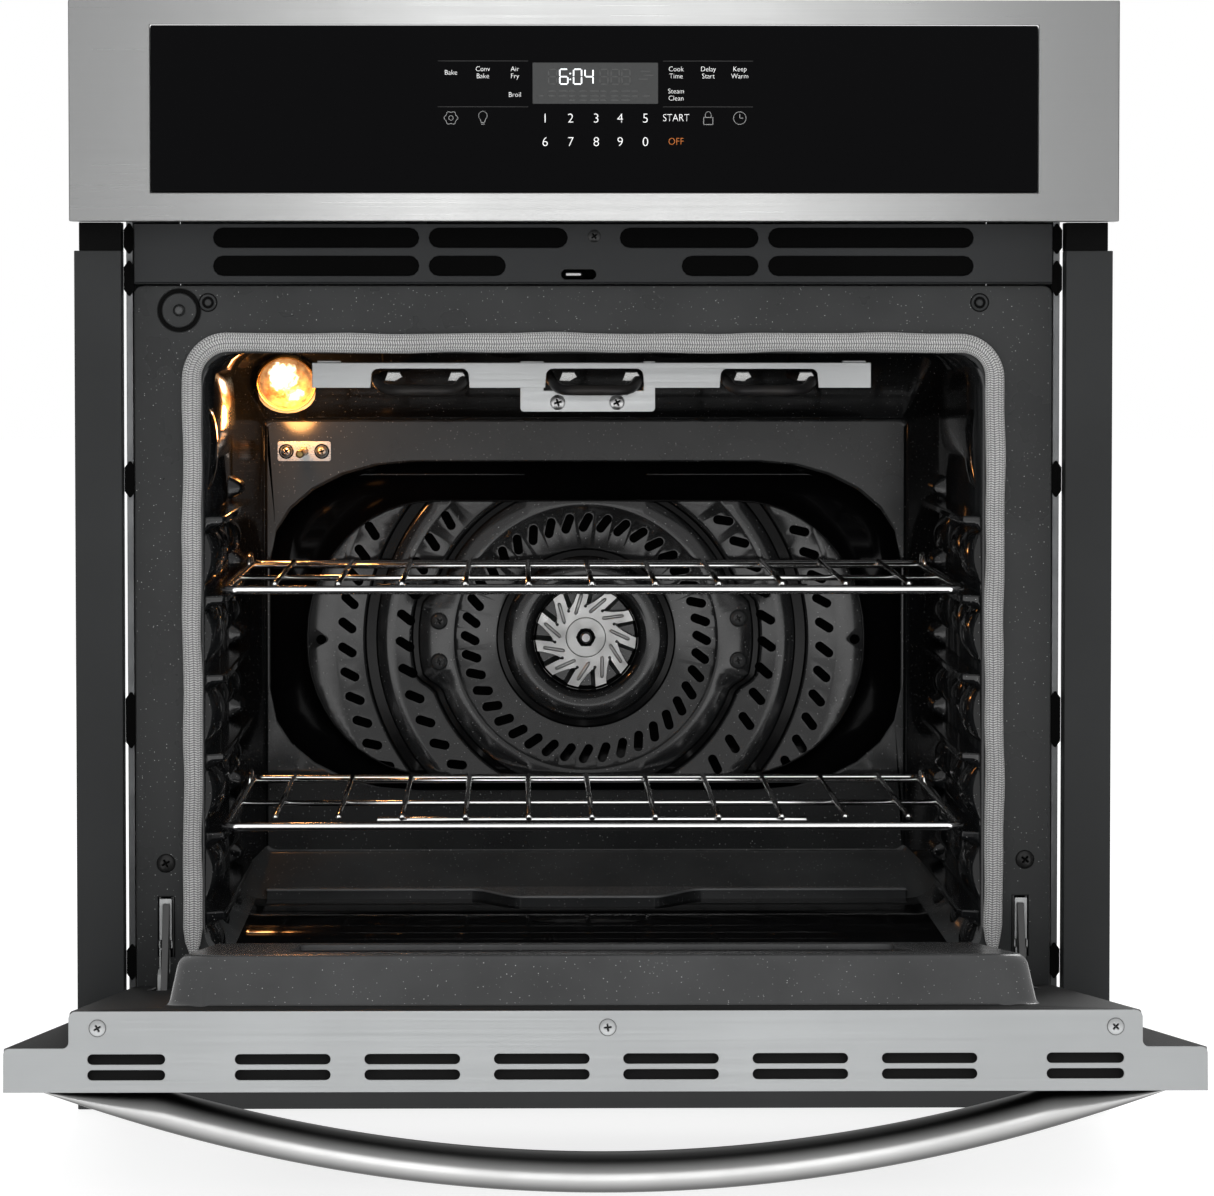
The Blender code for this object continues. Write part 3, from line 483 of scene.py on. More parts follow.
def add_prism(bm, axis, low, high, outline, holes=(), material=0):
    """A flat shape with holes, extruded from low to high along an axis."""
    edges, pairs, faces = [], {}, []
    rings = []
    for loop in (outline, *holes):
        near = [bm.verts.new(at(axis, low, u, v)) for u, v in loop]
        far = [bm.verts.new(at(axis, high, u, v)) for u, v in loop]
        edges += [bm.edges.new(pair) for pair in zip(near, near[1:] + near[:1])]
        pairs.update(zip(near, far))
        rings.append(near)
    cap = bmesh.ops.triangle_fill(bm, use_beauty=True, edges=edges)["geom"]
    cap = [f for f in cap if isinstance(f, bmesh.types.BMFace)]
    for face in cap:
        faces.append(bm.faces.new([pairs[v] for v in reversed(face.verts)]))
    for near in rings:
        for a, b in zip(near, near[1:] + near[:1]):
            faces.append(bm.faces.new((a, b, pairs[b], pairs[a])))
    faces += cap
    bmesh.ops.recalc_face_normals(bm, faces=faces)
    for face in faces:
        face.material_index = material


def rectangle(u0, v0, u1, v1):
    return [(u0, v0), (u1, v0), (u1, v1), (u0, v1)]


def rounded(u0, v0, u1, v1, ru, rv=None, steps=6):
    """A rectangle with elliptical corners, anticlockwise."""
    rv = ru if rv is None else rv
    points = []
    centres = ((u1 - ru, v0 + rv), (u1 - ru, v1 - rv), (u0 + ru, v1 - rv), (u0 + ru, v0 + rv))
    for quarter, (cu, cv) in enumerate(centres):
        for step in range(steps + 1):
            turn = math.pi / 2 * (quarter - 1 + step / steps)
            points.append((cu + ru * math.cos(turn), cv + rv * math.sin(turn)))
    return points


def turns(count):
    """The angles of even steps round a circle."""
    return [2 * math.pi * i / count for i in range(count)]


def ellipse(u, v, wide, tall, angles):
    return [(u + wide * math.cos(t), v + tall * math.sin(t)) for t in angles]


def circle(u, v, radius, count=32):
    return ellipse(u, v, radius, radius, turns(count))


def slot_outline(u, v, length, width, turn):
    """A round-ended slot turned by an angle about its middle."""
    c, s = math.cos(turn), math.sin(turn)
    flat = rounded(-length / 2, -width / 2, length / 2, width / 2, width / 2 - 1e-5, steps=5)
    return [(u + c * a - s * b, v + s * a + c * b) for a, b in flat]


def frame_along(direction):
    side = Vector((0, 0, 1)) if abs(direction.z) < 0.9 else Vector((1, 0, 0))
    u = direction.cross(side).normalized()
    return u, direction.cross(u).normalized()


def join_rings(bm, rings, closed=False):
    """Skins each ring of vertices to the next; a ring of one vertex makes a point."""
    faces = []
    count = max(len(ring) for ring in rings)
    for a, b in [*zip(rings, rings[1:])] + ([(rings[-1], rings[0])] if closed else []):
        for k in range(count):
            n = (k + 1) % count
            corners = [a[k % len(a)], a[n % len(a)], b[n % len(b)], b[k % len(b)]]
            faces.append(bm.faces.new(list(dict.fromkeys(corners))))
    return faces


def add_tube(bm, points, radius, sides=12, closed=False):
    """A round bar along a run of points, with slightly rounded ends."""
    points = [Vector(p) for p in points]
    radii = [radius] * len(points)
    if not closed:
        first = (points[0] - points[1]).normalized()
        last = (points[-1] - points[-2]).normalized()
        lead = 0.35 * radius
        points = [points[0], points[0] - first * lead, *points[1:-1], points[-1] - last * lead, points[-1]]
        radii = [0.72 * radius, radius, *radii[1:-1], radius, 0.72 * radius]
    count = len(points)
    angles = [2 * math.pi * (k + 0.5) / sides for k in range(sides)]
    rings = []
    u = None
    for i, point in enumerate(points):
        before = points[i - 1] if i or closed else point
        after = points[(i + 1) % count] if i + 1 < count or closed else point
        direction = (after - before).normalized()
        if u is None:
            u, _ = frame_along(direction)
        u = (u - direction * u.dot(direction)).normalized()
        v = direction.cross(u)
        rings.append([bm.verts.new(point + radii[i] * (u * math.cos(t) + v * math.sin(t))) for t in angles])
    faces = join_rings(bm, rings, closed)
    if not closed:
        faces += [bm.faces.new(rings[0]), bm.faces.new(rings[-1])]
    bmesh.ops.recalc_face_normals(bm, faces=faces)


def add_lathe(bm, profile, origin, axis, count=32):
    """Turns a closed profile of (radius, distance) points about an axis."""
    axis = Vector(axis).normalized()
    u, v = frame_along(axis)
    rows = []
    for radius, along in profile:
        centre = Vector(origin) + axis * along
        angles = turns(count) if radius else [0.0]
        rows.append([bm.verts.new(centre + radius * (u * math.cos(t) + v * math.sin(t))) for t in angles])
    closed = profile[0][0] > 0 and profile[-1][0] > 0
    bmesh.ops.recalc_face_normals(bm, faces=join_rings(bm, rows, closed))


def smoothstep(x):
    x = min(max(x, 0.0), 1.0)
    return x * x * (3 - 2 * x)


def add_screw(bm, centre, axis, radius, turn=0.3):
    """A domed cross-head screw, its recess pressed into the dome and painted darker as shade (material 1)."""
    height = 0.42 * radius
    axis = Vector(axis).normalized()
    u, v = frame_along(axis)
    u, v = u * math.cos(turn) + v * math.sin(turn), v * math.cos(turn) - u * math.sin(turn)
    rings, count = 15, 48
    centre = Vector(centre)
    rows = [[bm.verts.new(centre)]]
    for r in range(1, rings + 1):
        share = r / rings
        row = []
        for t in turns(count):
            a, b = share * math.cos(t), share * math.sin(t)
            arm = min(abs(a), abs(b))
            reach = max(abs(a), abs(b))
            cross = smoothstep((0.135 - arm) / 0.06) * smoothstep((0.50 - reach) / 0.10)
            dome = height * (1 - 0.75 * share ** 3.2)
            row.append(bm.verts.new(centre + radius * (a * u + b * v) + axis * (dome - 0.9 * height * cross)))
        rows.append(row)
    rows.append([bm.verts.new(vert.co - axis * (vert.co - centre).dot(axis)) for vert in rows[-1]])
    rows.append([bm.verts.new(centre)])
    faces = join_rings(bm, rows)
    bmesh.ops.recalc_face_normals(bm, faces=faces)
    # Painted shade: the faces of the cross recess take the second, near-black material.
    for face in faces:
        lift = max((v.co - centre).dot(axis) for v in face.verts)
        spread = (face.calc_center_median() - centre).length
        face.material_index = 1 if lift < 0.78 * height and spread < 0.56 * radius and lift > 0 else 0


def screws(name, places, look="zinc_screw", body="chassis", slot="bright_steel", closed=False):
    """Several screws in one piece: (centre, axis, radius, turn) each."""
    bm = bmesh.new()
    for centre, axis, radius, turn in places:
        add_screw(bm, centre, axis, radius, turn=turn)
    return piece(name, bm, [look, "black_gap"], body, slot, closed=closed, angle=60)


def cut(obj, tool_bm, operation="DIFFERENCE"):
    """Cuts a tool's solid from a piece now, or keeps only what they share."""
    mesh = bpy.data.meshes.new("tool")
    tool_bm.to_mesh(mesh)
    tool_bm.free()
    tool = bpy.data.objects.new("tool", mesh)
    bpy.context.collection.objects.link(tool)
    boolean = obj.modifiers.new("cut", "BOOLEAN")
    boolean.operation = operation
    boolean.solver = "EXACT"
    boolean.object = tool
    apply_modifiers(obj)
    bpy.data.objects.remove(tool)
    return obj


def apply_modifiers(obj):
    depsgraph = bpy.context.evaluated_depsgraph_get()
    depsgraph.update()
    made = bpy.data.meshes.new_from_object(obj.evaluated_get(depsgraph))
    old = obj.data
    obj.modifiers.clear()
    obj.data = made
    made.name = old.name
    return obj


def arc(centre, u, v, radius, start, end, steps):
    """Points on an arc in the plane of two unit vectors."""
    centre, u, v = Vector(centre), Vector(u), Vector(v)
    turns = [start + (end - start) * i / steps for i in range(steps + 1)]
    return [centre + radius * (u * math.cos(t) + v * math.sin(t)) for t in turns]


# ---------------------------------------------------------------- control panel


def control_panel():
    softened("control_panel_frame", "brushed_steel", 0.0011, 3)
    softened("control_glass", "black_glass", 0.0012, 3)
    softened("display_module", "black_plastic", 0.001)
    softened("control_board", "circuit_green", 0.0002)
    softened("panel_support", "galvanised", 0.0004)
    display()
    panel_marks()


def add_text(bm, text, x, z, size, y, squeeze=1.0):
    """Flat lettering centred on a place on the glass."""
    curve = bpy.data.curves.new("lettering", "FONT")
    curve.body = text
    curve.size = size
    curve.align_x, curve.align_y = "CENTER", "CENTER"
    curve.resolution_u = 3
    curve.offset = -0.012 * size
    obj = bpy.data.objects.new("lettering", curve)
    bpy.context.collection.objects.link(obj)
    bpy.context.view_layer.update()
    mesh = obj.to_mesh()
    start = len(bm.verts)
    bm.from_mesh(mesh)
    bm.verts.ensure_lookup_table()
    for vert in bm.verts[start:]:
        vert.co = Vector((x + squeeze * vert.co.x, y, z + vert.co.y))
    obj.to_mesh_clear()
    bpy.data.objects.remove(obj)
    bpy.data.curves.remove(curve)


def thicken(obj, thickness):
    solid = obj.modifiers.new("ink", "SOLIDIFY")
    solid.thickness = thickness
    solid.offset = 0
    return obj


MARK_Y = GLASS_FACE - 0.00004
INK = 0.00006
KEY_COLUMNS = (-0.0324, -0.0157, 0.0010, 0.0166, 0.0331)
KEY_ROWS = (0.6539, 0.6386)
LEFT_COLUMNS = (-0.0938, -0.0730, -0.0521)
RIGHT_COLUMNS = (0.0531, 0.0741, 0.0947)
ICON_Z = 0.6543


def stroke(bm, points, width, closed=False):
    """A printed line of even width, as short flat quads with round joints."""
    pairs = list(zip(points, points[1:])) + ([(points[-1], points[0])] if closed else [])
    for (x0, z0), (x1, z1) in pairs:
        along = Vector((x1 - x0, 0, z1 - z0))
        if along.length < 1e-7:
            continue
        side = Vector((-along.z, 0, along.x)).normalized() * width / 2
        lift = along.normalized() * width * 0.25
        a, b = Vector((x0, MARK_Y, z0)) - lift, Vector((x1, MARK_Y, z1)) + lift
        bm.faces.new([bm.verts.new(p) for p in (a - side, b - side, b + side, a + side)])


def panel_marks():
    bm = bmesh.new()
    for i, digit in enumerate("1234567890"):
        add_text(bm, digit, KEY_COLUMNS[i % 5], KEY_ROWS[i // 5], 0.0088, MARK_Y)
    words = (
        (LEFT_COLUMNS[0], 0.6838, ("Bake",)), (LEFT_COLUMNS[1], 0.6838, ("Conv", "Bake")),
        (LEFT_COLUMNS[2], 0.6838, ("Air", "Fry")), (LEFT_COLUMNS[2], 0.6694, ("Broil",)),
        (RIGHT_COLUMNS[0], 0.6838, ("Cook", "Time")), (RIGHT_COLUMNS[1], 0.6838, ("Delay", "Start")),
        (RIGHT_COLUMNS[2], 0.6838, ("Keep", "Warm")), (RIGHT_COLUMNS[0], 0.6694, ("Steam", "Clean")),
    )
    for x, z, lines in words:
        for row, line in enumerate(lines):
            add_text(bm, line, x, z + 0.0046 * ((len(lines) - 1) / 2 - row), 0.0046, MARK_Y, 0.95)
    add_text(bm, "START", RIGHT_COLUMNS[0], ICON_Z, 0.0068, MARK_Y, 0.88)
    thicken(piece("panel_lettering", bm, "mark_white", slot="black_glass"), INK)

    bm = bmesh.new()
    line = 0.00042
    x = LEFT_COLUMNS[0]
    gear = []
    for turn in turns(24):
        t = turn + math.pi / 6
        reach = 0.0041 + 0.0005 * math.cos(6 * t)
        gear.append((x + reach * math.cos(t), ICON_Z + reach * math.sin(t)))
    stroke(bm, gear, line, closed=True)
    stroke(bm, circle(x, ICON_Z, 0.0015, 14), line, closed=True)
    x = LEFT_COLUMNS[1]
    bulb = ellipse(x, ICON_Z + 0.0015, 0.0028, 0.0028, [math.radians(-50 + 10 * k) for k in range(29)])
    bulb = [(x + 0.0011, ICON_Z - 0.0028), *bulb, (x - 0.0011, ICON_Z - 0.0028)]
    stroke(bm, bulb, line)
    for drop in (0.0030, 0.0040):
        stroke(bm, [(x - 0.0011, ICON_Z - drop), (x + 0.0011, ICON_Z - drop)], line)
    x = RIGHT_COLUMNS[1]
    stroke(bm, rectangle(x - 0.0030, ICON_Z + 0.0004, x + 0.0030, ICON_Z - 0.0042), line, closed=True)
    shackle = ellipse(x, ICON_Z + 0.0020, 0.0019, 0.0022, [math.pi * k / 10 for k in range(11)])
    stroke(bm, [(x + 0.0019, ICON_Z + 0.0004), *shackle, (x - 0.0019, ICON_Z + 0.0004)], line)
    x = RIGHT_COLUMNS[2]
    stroke(bm, circle(x, ICON_Z, 0.0041, 28), line, closed=True)
    stroke(bm, [(x, ICON_Z + 0.0025), (x, ICON_Z), (x + 0.0021, ICON_Z)], line)
    thicken(piece("panel_icons", bm, "mark_grey", slot="black_glass"), INK)

    bm = bmesh.new()
    for low, high in ((-0.1022, -0.0435), (0.0446, 0.1032)):
        for z in (0.6914, 0.6616):
            stroke(bm, [(low, z), (high, z)], 0.0005)
    thicken(piece("panel_lines", bm, "mark_dim", slot="black_glass"), INK)

    bm = bmesh.new()
    add_text(bm, "OFF", RIGHT_COLUMNS[0], KEY_ROWS[1] + 0.0003, 0.0066, MARK_Y, 0.9)
    thicken(piece("off_key_mark", bm, "mark_orange", slot="black_glass"), INK)


SEGMENTS = {
    "a": ((0.12, 1.0), (0.88, 1.0)), "b": ((1.0, 0.94), (1.0, 0.56)), "c": ((1.0, 0.44), (1.0, 0.06)),
    "d": ((0.12, 0.0), (0.88, 0.0)), "e": ((0.0, 0.44), (0.0, 0.06)), "f": ((0.0, 0.94), (0.0, 0.56)),
    "g": ((0.12, 0.5), (0.88, 0.5)),
}
SHAPES = {"6": "acdefg", "0": "abcdef", "4": "bcfg", "8": "abcdefg"}


def add_digit(bm, digit, x, z, width, height, line):
    """A seven-segment figure."""
    for segment in SHAPES[digit]:
        ends = [(x + width * u, z + height * v) for u, v in SEGMENTS[segment]]
        stroke(bm, ends, line)


def display():
    """Grey liquid-crystal window with the clock and its unlit segments."""
    bm = bmesh.new()
    window = rounded(-0.0405, 0.6636, 0.0413, 0.6903, 0.0006)
    add_prism(bm, "y", GLASS_FACE - 0.00003, GLASS_FACE + 0.0003, window)
    piece("display_window", bm, "display_grey", slot="black_glass")
    lit = bmesh.new()
    digit_z, digit_high, digit_wide, line = 0.6764, 0.0096, 0.0052, 0.0009
    for digit, x in (("6", -0.0228), ("0", -0.0138), ("4", -0.0063)):
        add_digit(lit, digit, x, digit_z, digit_wide, digit_high, line)
    for z in (digit_z + 0.0030, digit_z + 0.0068):
        stroke(lit, [(-0.0162, z), (-0.0157, z)], line)
    thicken(piece("clock_figures", lit, "display_lit", slot="black_glass"), INK)
    ghost = bmesh.new()
    for x in (-0.0300, 0.0034, 0.0107, 0.0178):
        add_digit(ghost, "8", x, digit_z, digit_wide, digit_high, line)
    for z, first, last in ((0.6719, 1, 10), (0.6687, 0, 11), (0.6660, 3, 9)):
        for i in range(first, last):
            x = -0.0370 + 0.0068 * i
            stroke(ghost, [(x, z), (x + 0.0036 + 0.0010 * (i % 3), z)], 0.0010)
    for z, x in ((0.6848, 0.0300), (0.6822, 0.0320), (0.6796, 0.0285)):
        stroke(ghost, [(x, z), (x + 0.0060, z)], 0.0008)
    thicken(piece("unlit_segments", ghost, "display_ghost", slot="black_glass"), INK)


# ---------------------------------------------------------------- front metalwork


def vent():
    softened("vent_strip", "grey_paint", 0.0005, 3)
    softened("latch_housing", "charcoal_paint", 0.0004, slot="galvanised")
    softened("latch_hook", "zinc_screw", 0.0004, slot="bright_steel", body="latch")
    screws("vent_screw", [((0.0003, -0.2960, 0.5781), (0, -1, 0), 0.0042, 0.6)], "screw_dark", slot="grey_paint")
    bm = bmesh.new()
    lip = [(-0.2960, 0.5470), (-0.2978, 0.5463), (-0.2980, 0.5467), (-0.2962, 0.5478)]
    add_prism(bm, "x", -0.3035, 0.3035, lip)
    soften_edges(piece("vent_strip_lip", bm, "grey_paint"), 0.0002)
    # A near-black sheet just behind the vent strip: painted shade seen through its slots.
    bm = bmesh.new()
    hole = rectangle(-0.0230, 0.5487, 0.0030, 0.5566)
    add_prism(bm, "y", -0.2945, -0.2940, rectangle(-0.3020, 0.5480, 0.3020, 0.5850), [hole])
    piece("vent_duct_shade_sheet", bm, "duct_black", slot="galvanised")


TAB_HEIGHTS = ((0.5665, 0.5865), (0.5386, 0.5619), (0.4049, 0.4289), (0.2380, 0.2752), (0.0830, 0.1069))


def trims():
    """Cabinet trims: a folded channel with a narrower tongue at its top, and the slotted edge strip inside."""
    for suffix, sign in (("left", -1), ("right", 1)):
        inner, outer, step = 0.3112 * sign, 0.3420 * sign, 0.3388 * sign
        bm = bmesh.new()
        wall = 0.0012 * sign
        runs = ((0.0660, 0.5682, outer, -0.3165), (0.5682, 0.5868, step, -0.3160))
        for material, (low, high, edge, face) in enumerate(runs):
            channel = [
                (inner, face), (edge, face), (edge, -0.2902), (edge - wall, -0.2902),
                (edge - wall, face + 0.0012), (inner + wall, face + 0.0012),
                (inner + wall, -0.2902), (inner, -0.2902),
            ]
            add_prism(bm, "z", low, high, channel, material=material)
        looks = ["charcoal_paint", "black_gap"]
        made = piece("cabinet_trim_" + suffix, bm, looks, replaces=("side_trim_" + suffix,))
        soften_edges(made, 0.0005, 3)

        bm = bmesh.new()
        middle, half, point = 0.30785 * sign, 0.0036, 0.0042
        for low, high in TAB_HEIGHTS:
            outline = [
                (middle - 0.0006, low), (middle + 0.0006, low),
                (middle + half, low + point), (middle + half, high - point),
                (middle + 0.0006, high), (middle - 0.0006, high),
                (middle - half, high - point), (middle - half, low + point),
            ]
            add_prism(bm, "y", -0.2867, -0.2850, outline)
        soften_edges(piece("edge_strip_slots_" + suffix, bm, "black_gap", slot="charcoal_paint"), 0.0002)
    softened("bottom_trim", "trim_paint", 0.0012, 3, slot="charcoal_paint")
    softened("lower_front_panel", "charcoal_paint", 0.0004)


def chassis_shell():
    for node in ("chassis_base", "chassis_top", "chassis_back", "chassis_left_side", "chassis_right_side"):
        softened(node, "galvanised", 0.0004)
    rivets = []
    for sign in (-1, 1):
        for y in (-0.24, -0.12, 0.0, 0.12, 0.24):
            rivets.append(((0.3100 * sign, y, 0.700), (sign, 0, 0), 0.0038, 0.3 + y))
            rivets.append(((0.3100 * sign, y, 0.016), (sign, 0, 0), 0.0038, 0.9 + y))
        for z in (0.12, 0.28, 0.44, 0.60):
            rivets.append(((0.2960 * sign, 0.2900, z), (0, 1, 0), 0.0038, 0.5 + z))
    for x in (-0.2, 0.0, 0.2):
        rivets.append(((x, 0.2900, 0.700), (0, 1, 0), 0.0038, 0.2 + x))
        rivets.append(((x, 0.2900, 0.016), (0, 1, 0), 0.0038, 0.4 + x))
        rivets.append(((x, 0.2700, 0.7160), (0, 0, 1), 0.0038, 0.6 + x))
        rivets.append(((x, -0.2650, 0.7160), (0, 0, 1), 0.0038, 0.8 + x))
    screws("chassis_screws", rivets, slot="galvanised")


def front_frame():
    """The enamelled front plate round the cavity, its plugs, screws and door switch."""
    softened("cavity_front_frame", "enamel", 0.0008, 3)
    switch = Vector((-0.2746, FRAME_Y, 0.5290))
    bm = bmesh.new()
    profile = [
        (0, 0.0165), (0.0146, 0.0165), (0.0148, -0.0003), (0.0146, -0.0006), (0.0143, -0.0003), (0.0141, 0.0004),
        (0.0117, 0.0004), (0.0114, -0.0012), (0.0109, -0.0017), (0.0042, -0.0017), (0.0036, -0.0010),
        (0.0036, 0.0015), (0, 0.0015),
    ]
    add_lathe(bm, profile, switch, (0, 1, 0), 48)
    piece("door_switch_socket", bm, "enamel", slot="black_plastic", replaces=("switch_body",), angle=25)
    bm = bmesh.new()
    groove = [(0.0115, -0.0002), (0.0143, -0.0002), (0.0143, 0.0003), (0.0115, 0.0003)]
    add_lathe(bm, groove, switch, (0, 1, 0), 48)
    piece("door_switch_groove", bm, "black_gap", slot="black_plastic")
    bm = bmesh.new()
    tip = [(0, -0.0065), (0.0014, -0.0063), (0.0024, -0.0056), (0.0028, -0.0044), (0.0028, 0.0125), (0, 0.0125)]
    add_lathe(bm, tip, switch, (0, 1, 0), 32)
    piece("door_switch_plunger", bm, "switch_grey", "switch_pin", slot="grey_paint", replaces=("switch_plunger",))
    bm = bmesh.new()
    rim = [(0.0056, 0.0), (0.0056, -0.0003), (0.0051, -0.0009), (0.0042, -0.0007), (0.0037, 0.0)]
    plug = [(0, -0.0006), (0.0018, -0.0006), (0.0025, 0.0), (0, 0.0)]
    for x in (-0.2556, 0.2563):
        add_lathe(bm, rim, (x, FRAME_Y, 0.5342), (0, 1, 0), 36)
        add_lathe(bm, plug, (x, FRAME_Y, 0.5342), (0, 1, 0), 36)
    piece("frame_plugs", bm, "enamel")
    bm = bmesh.new()
    for x in (-0.2556, 0.2563):
        well = [(0, -0.0002), (0.0063, -0.0002), (0.0063, 0.0), (0, 0.0)]
        add_lathe(bm, well, (x, FRAME_Y, 0.5342), (0, 1, 0), 36)
    piece("frame_plug_wells", bm, "black_gap", slot="enamel")
    spots = ((-0.2848, 0.1613, 0.5), (0.2877, 0.1631, 0.9))
    places = [((x, FRAME_Y, z), (0, -1, 0), 0.0058, turn) for x, z, turn in spots]
    screws("frame_screws", places, "screw_dark", slot="enamel")
    bm = bmesh.new()
    for centre, _, radius, _ in places:
        outer = radius + 0.0005
        seat = [(radius, -0.0002), (outer, -0.0002), (outer, 0.0), (radius, 0.0)]
        add_lathe(bm, seat, centre, (0, 1, 0), 40)
    piece("frame_screw_seats", bm, "black_gap", slot="enamel")


def gasket_path():
    """The rope's middle line: up the left, over the top and down the right, lying slightly unevenly."""
    x, top, bend, foot, y = 0.2665, 0.5075, 0.0235, 0.1000, -0.2942
    corner = top - bend
    points = [Vector((-x, y, foot + (corner - foot) * i / 40)) for i in range(40)]
    points += arc((-x + bend, y, corner), (-1, 0, 0), (0, 0, 1), bend, 0, math.pi / 2, 12)
    span = 2 * (x - bend)
    points += [Vector((-x + bend + span * i / 48, y, top)) for i in range(1, 48)]
    points += arc((x - bend, y, corner), (0, 0, 1), (1, 0, 0), bend, 0, math.pi / 2, 12)
    points += [Vector((x, y, corner - (corner - foot) * i / 40)) for i in range(1, 41)]
    middle = Vector((0, y, 0.30))
    length = 0.0
    for i, point in enumerate(points):
        length += (point - points[i - 1]).length if i else 0
        sway = 0.00045 * math.sin(length / 0.031) + 0.0003 * math.sin(length / 0.0113 + 1.0)
        if i not in (0, len(points) - 1):
            point += sway * (point - middle).normalized()
    return points


def gasket():
    """A flattened braided rope with its seam hidden against the frame."""
    points = gasket_path()
    bm = bmesh.new()
    layer = bm.loops.layers.uv.new("along_rope")
    sides, half_wide, half_deep = 28, 0.0064, 0.0035
    rings, lengths = [], []
    length = 0.0
    for i, point in enumerate(points):
        before, after = points[max(i - 1, 0)], points[min(i + 1, len(points) - 1)]
        along = (after - before).normalized()
        outward = Vector((0, -1, 0))
        sideways = along.cross(outward).normalized()
        length += (point - points[i - 1]).length if i else 0
        swell = 1 + 0.03 * math.sin(length / 0.019) + 0.02 * math.sin(length / 0.0071)
        end = min(i, len(points) - 1 - i)
        close = (0.35, 0.8, 1.0)[min(end, 2)]
        ring = []
        for t in turns(sides):
            c, s = math.cos(t), math.sin(t)
            wide = math.copysign(abs(c) ** 0.8, c) * half_wide * swell * close
            deep = math.copysign(abs(s) ** 0.8, s) * half_deep * close
            ring.append(bm.verts.new(point + sideways * wide + outward * (deep + 0.0001)))
        rings.append(ring)
        lengths.append(length)
    girth = 2 * math.pi * math.sqrt((half_wide ** 2 + half_deep ** 2) / 2)
    for i, (a, b) in enumerate(zip(rings, rings[1:])):
        for k in range(sides):
            n = (k + 1) % sides
            face = bm.faces.new((a[k], a[n], b[n], b[k]))
            corners = ((k, i), (k + 1, i), (k + 1, i + 1), (k, i + 1))
            for loop, (step, row) in zip(face.loops, corners):
                loop[layer].uv = (girth * step / sides, lengths[row])
    bm.faces.new(rings[0])
    bm.faces.new(rings[-1])
    bmesh.ops.recalc_face_normals(bm, faces=bm.faces[:])
    piece("gasket_braid", bm, "fibreglass", replaces=("door_gasket",), angle=60)


# ---------------------------------------------------------------- cavity


def add_rows(bm, rows, cap=True):
    """Skins a run of matching outlines: each row is (outline in x and z, y, material)."""
    rings = [[bm.verts.new((u, y, v)) for u, v in outline] for outline, y, _ in rows]
    for pair, (_, _, material) in zip(zip(rings, rings[1:]), rows[1:]):
        for face in join_rings(bm, pair):
            face.material_index = material
    if cap:
        bm.faces.new(rings[-1]).material_index = rows[-1][2]
    bmesh.ops.recalc_face_normals(bm, faces=bm.faces[:])


def faces_front(bm):
    """Makes an open shell's faces look towards its mouth at -Y."""
    last = max(bm.faces, key=lambda f: f.calc_center_median().y)
    if last.normal.y > 0:
        bmesh.ops.reverse_faces(bm, faces=bm.faces[:])


def cavity_shell():
    front = rounded(-0.2600, 0.0955, 0.2600, 0.5005, 0.0220)
    back = rounded(-0.2390, 0.1260, 0.2390, 0.4480, 0.0050)
    bm = bmesh.new()
    rows = [(front, -0.2884, 0), (front, 0.1100, 0), (back, 0.1600, 0)]
    dish = (
        (0.0, 0.1600), (0.0006, 0.1640), (0.0040, 0.1700), (0.0100, 0.1745), (0.0200, 0.1780),
        (0.0400, 0.1812), (0.0420, 0.1816),
    )
    # The recess in the back wall takes the near-black recess tone: painted shade.
    for i, y in dish:
        outline = rounded(-0.2340 + i, 0.1726 + i, 0.2340 - i, 0.4166 - i, 0.1100 - i, 0.0720 - i)
        rows.append((outline, y, 1 if y > 0.1600 else 2))
    add_rows(bm, rows)
    faces_front(bm)
    # Painted light by slope: flat floor faces take the near-black floor tone, the other upward faces low in the
    # cavity take the lighter slope tone.
    for face in bm.faces:
        if face.material_index == 0 and face.normal.z > 0.3 and face.calc_center_median().z < 0.14:
            face.material_index = 3 if face.normal.z > 0.99 else 4
    looks = ["enamel_inside", "enamel_recess", "enamel_back", "enamel_floor", "enamel_shelf"]
    made = piece("cavity_walls", bm, looks, slot="enamel", replaces=("cavity_liner",))
    bevel = made.modifiers.new("bends", "BEVEL")
    bevel.width, bevel.segments = 0.0030, 4
    bevel.limit_method, bevel.angle_limit = "ANGLE", math.radians(24)
    as_sheet(made, 0.0012)
    bm = bmesh.new()
    height, y = 0.4072, 0.1690
    for sign in (-1, 1):
        bend = [(0.1900, height - 0.0090), (0.1830, height - 0.0045), (0.1755, height - 0.0012), (0.1660, height)]
        run = [(sign * x, y + (height - z) * 0.3, z) for x, z in bend] + [(sign * 0.0455, y, height)]
        add_tube(bm, run, 0.0007, 8)
    piece("recess_bead", bm, "enamel_step", slot="enamel", angle=60)
    softened("insulation_wrap", "wool", 0.002)


LEDGE_HEIGHTS = (0.130, 0.183, 0.236, 0.289, 0.342, 0.395)


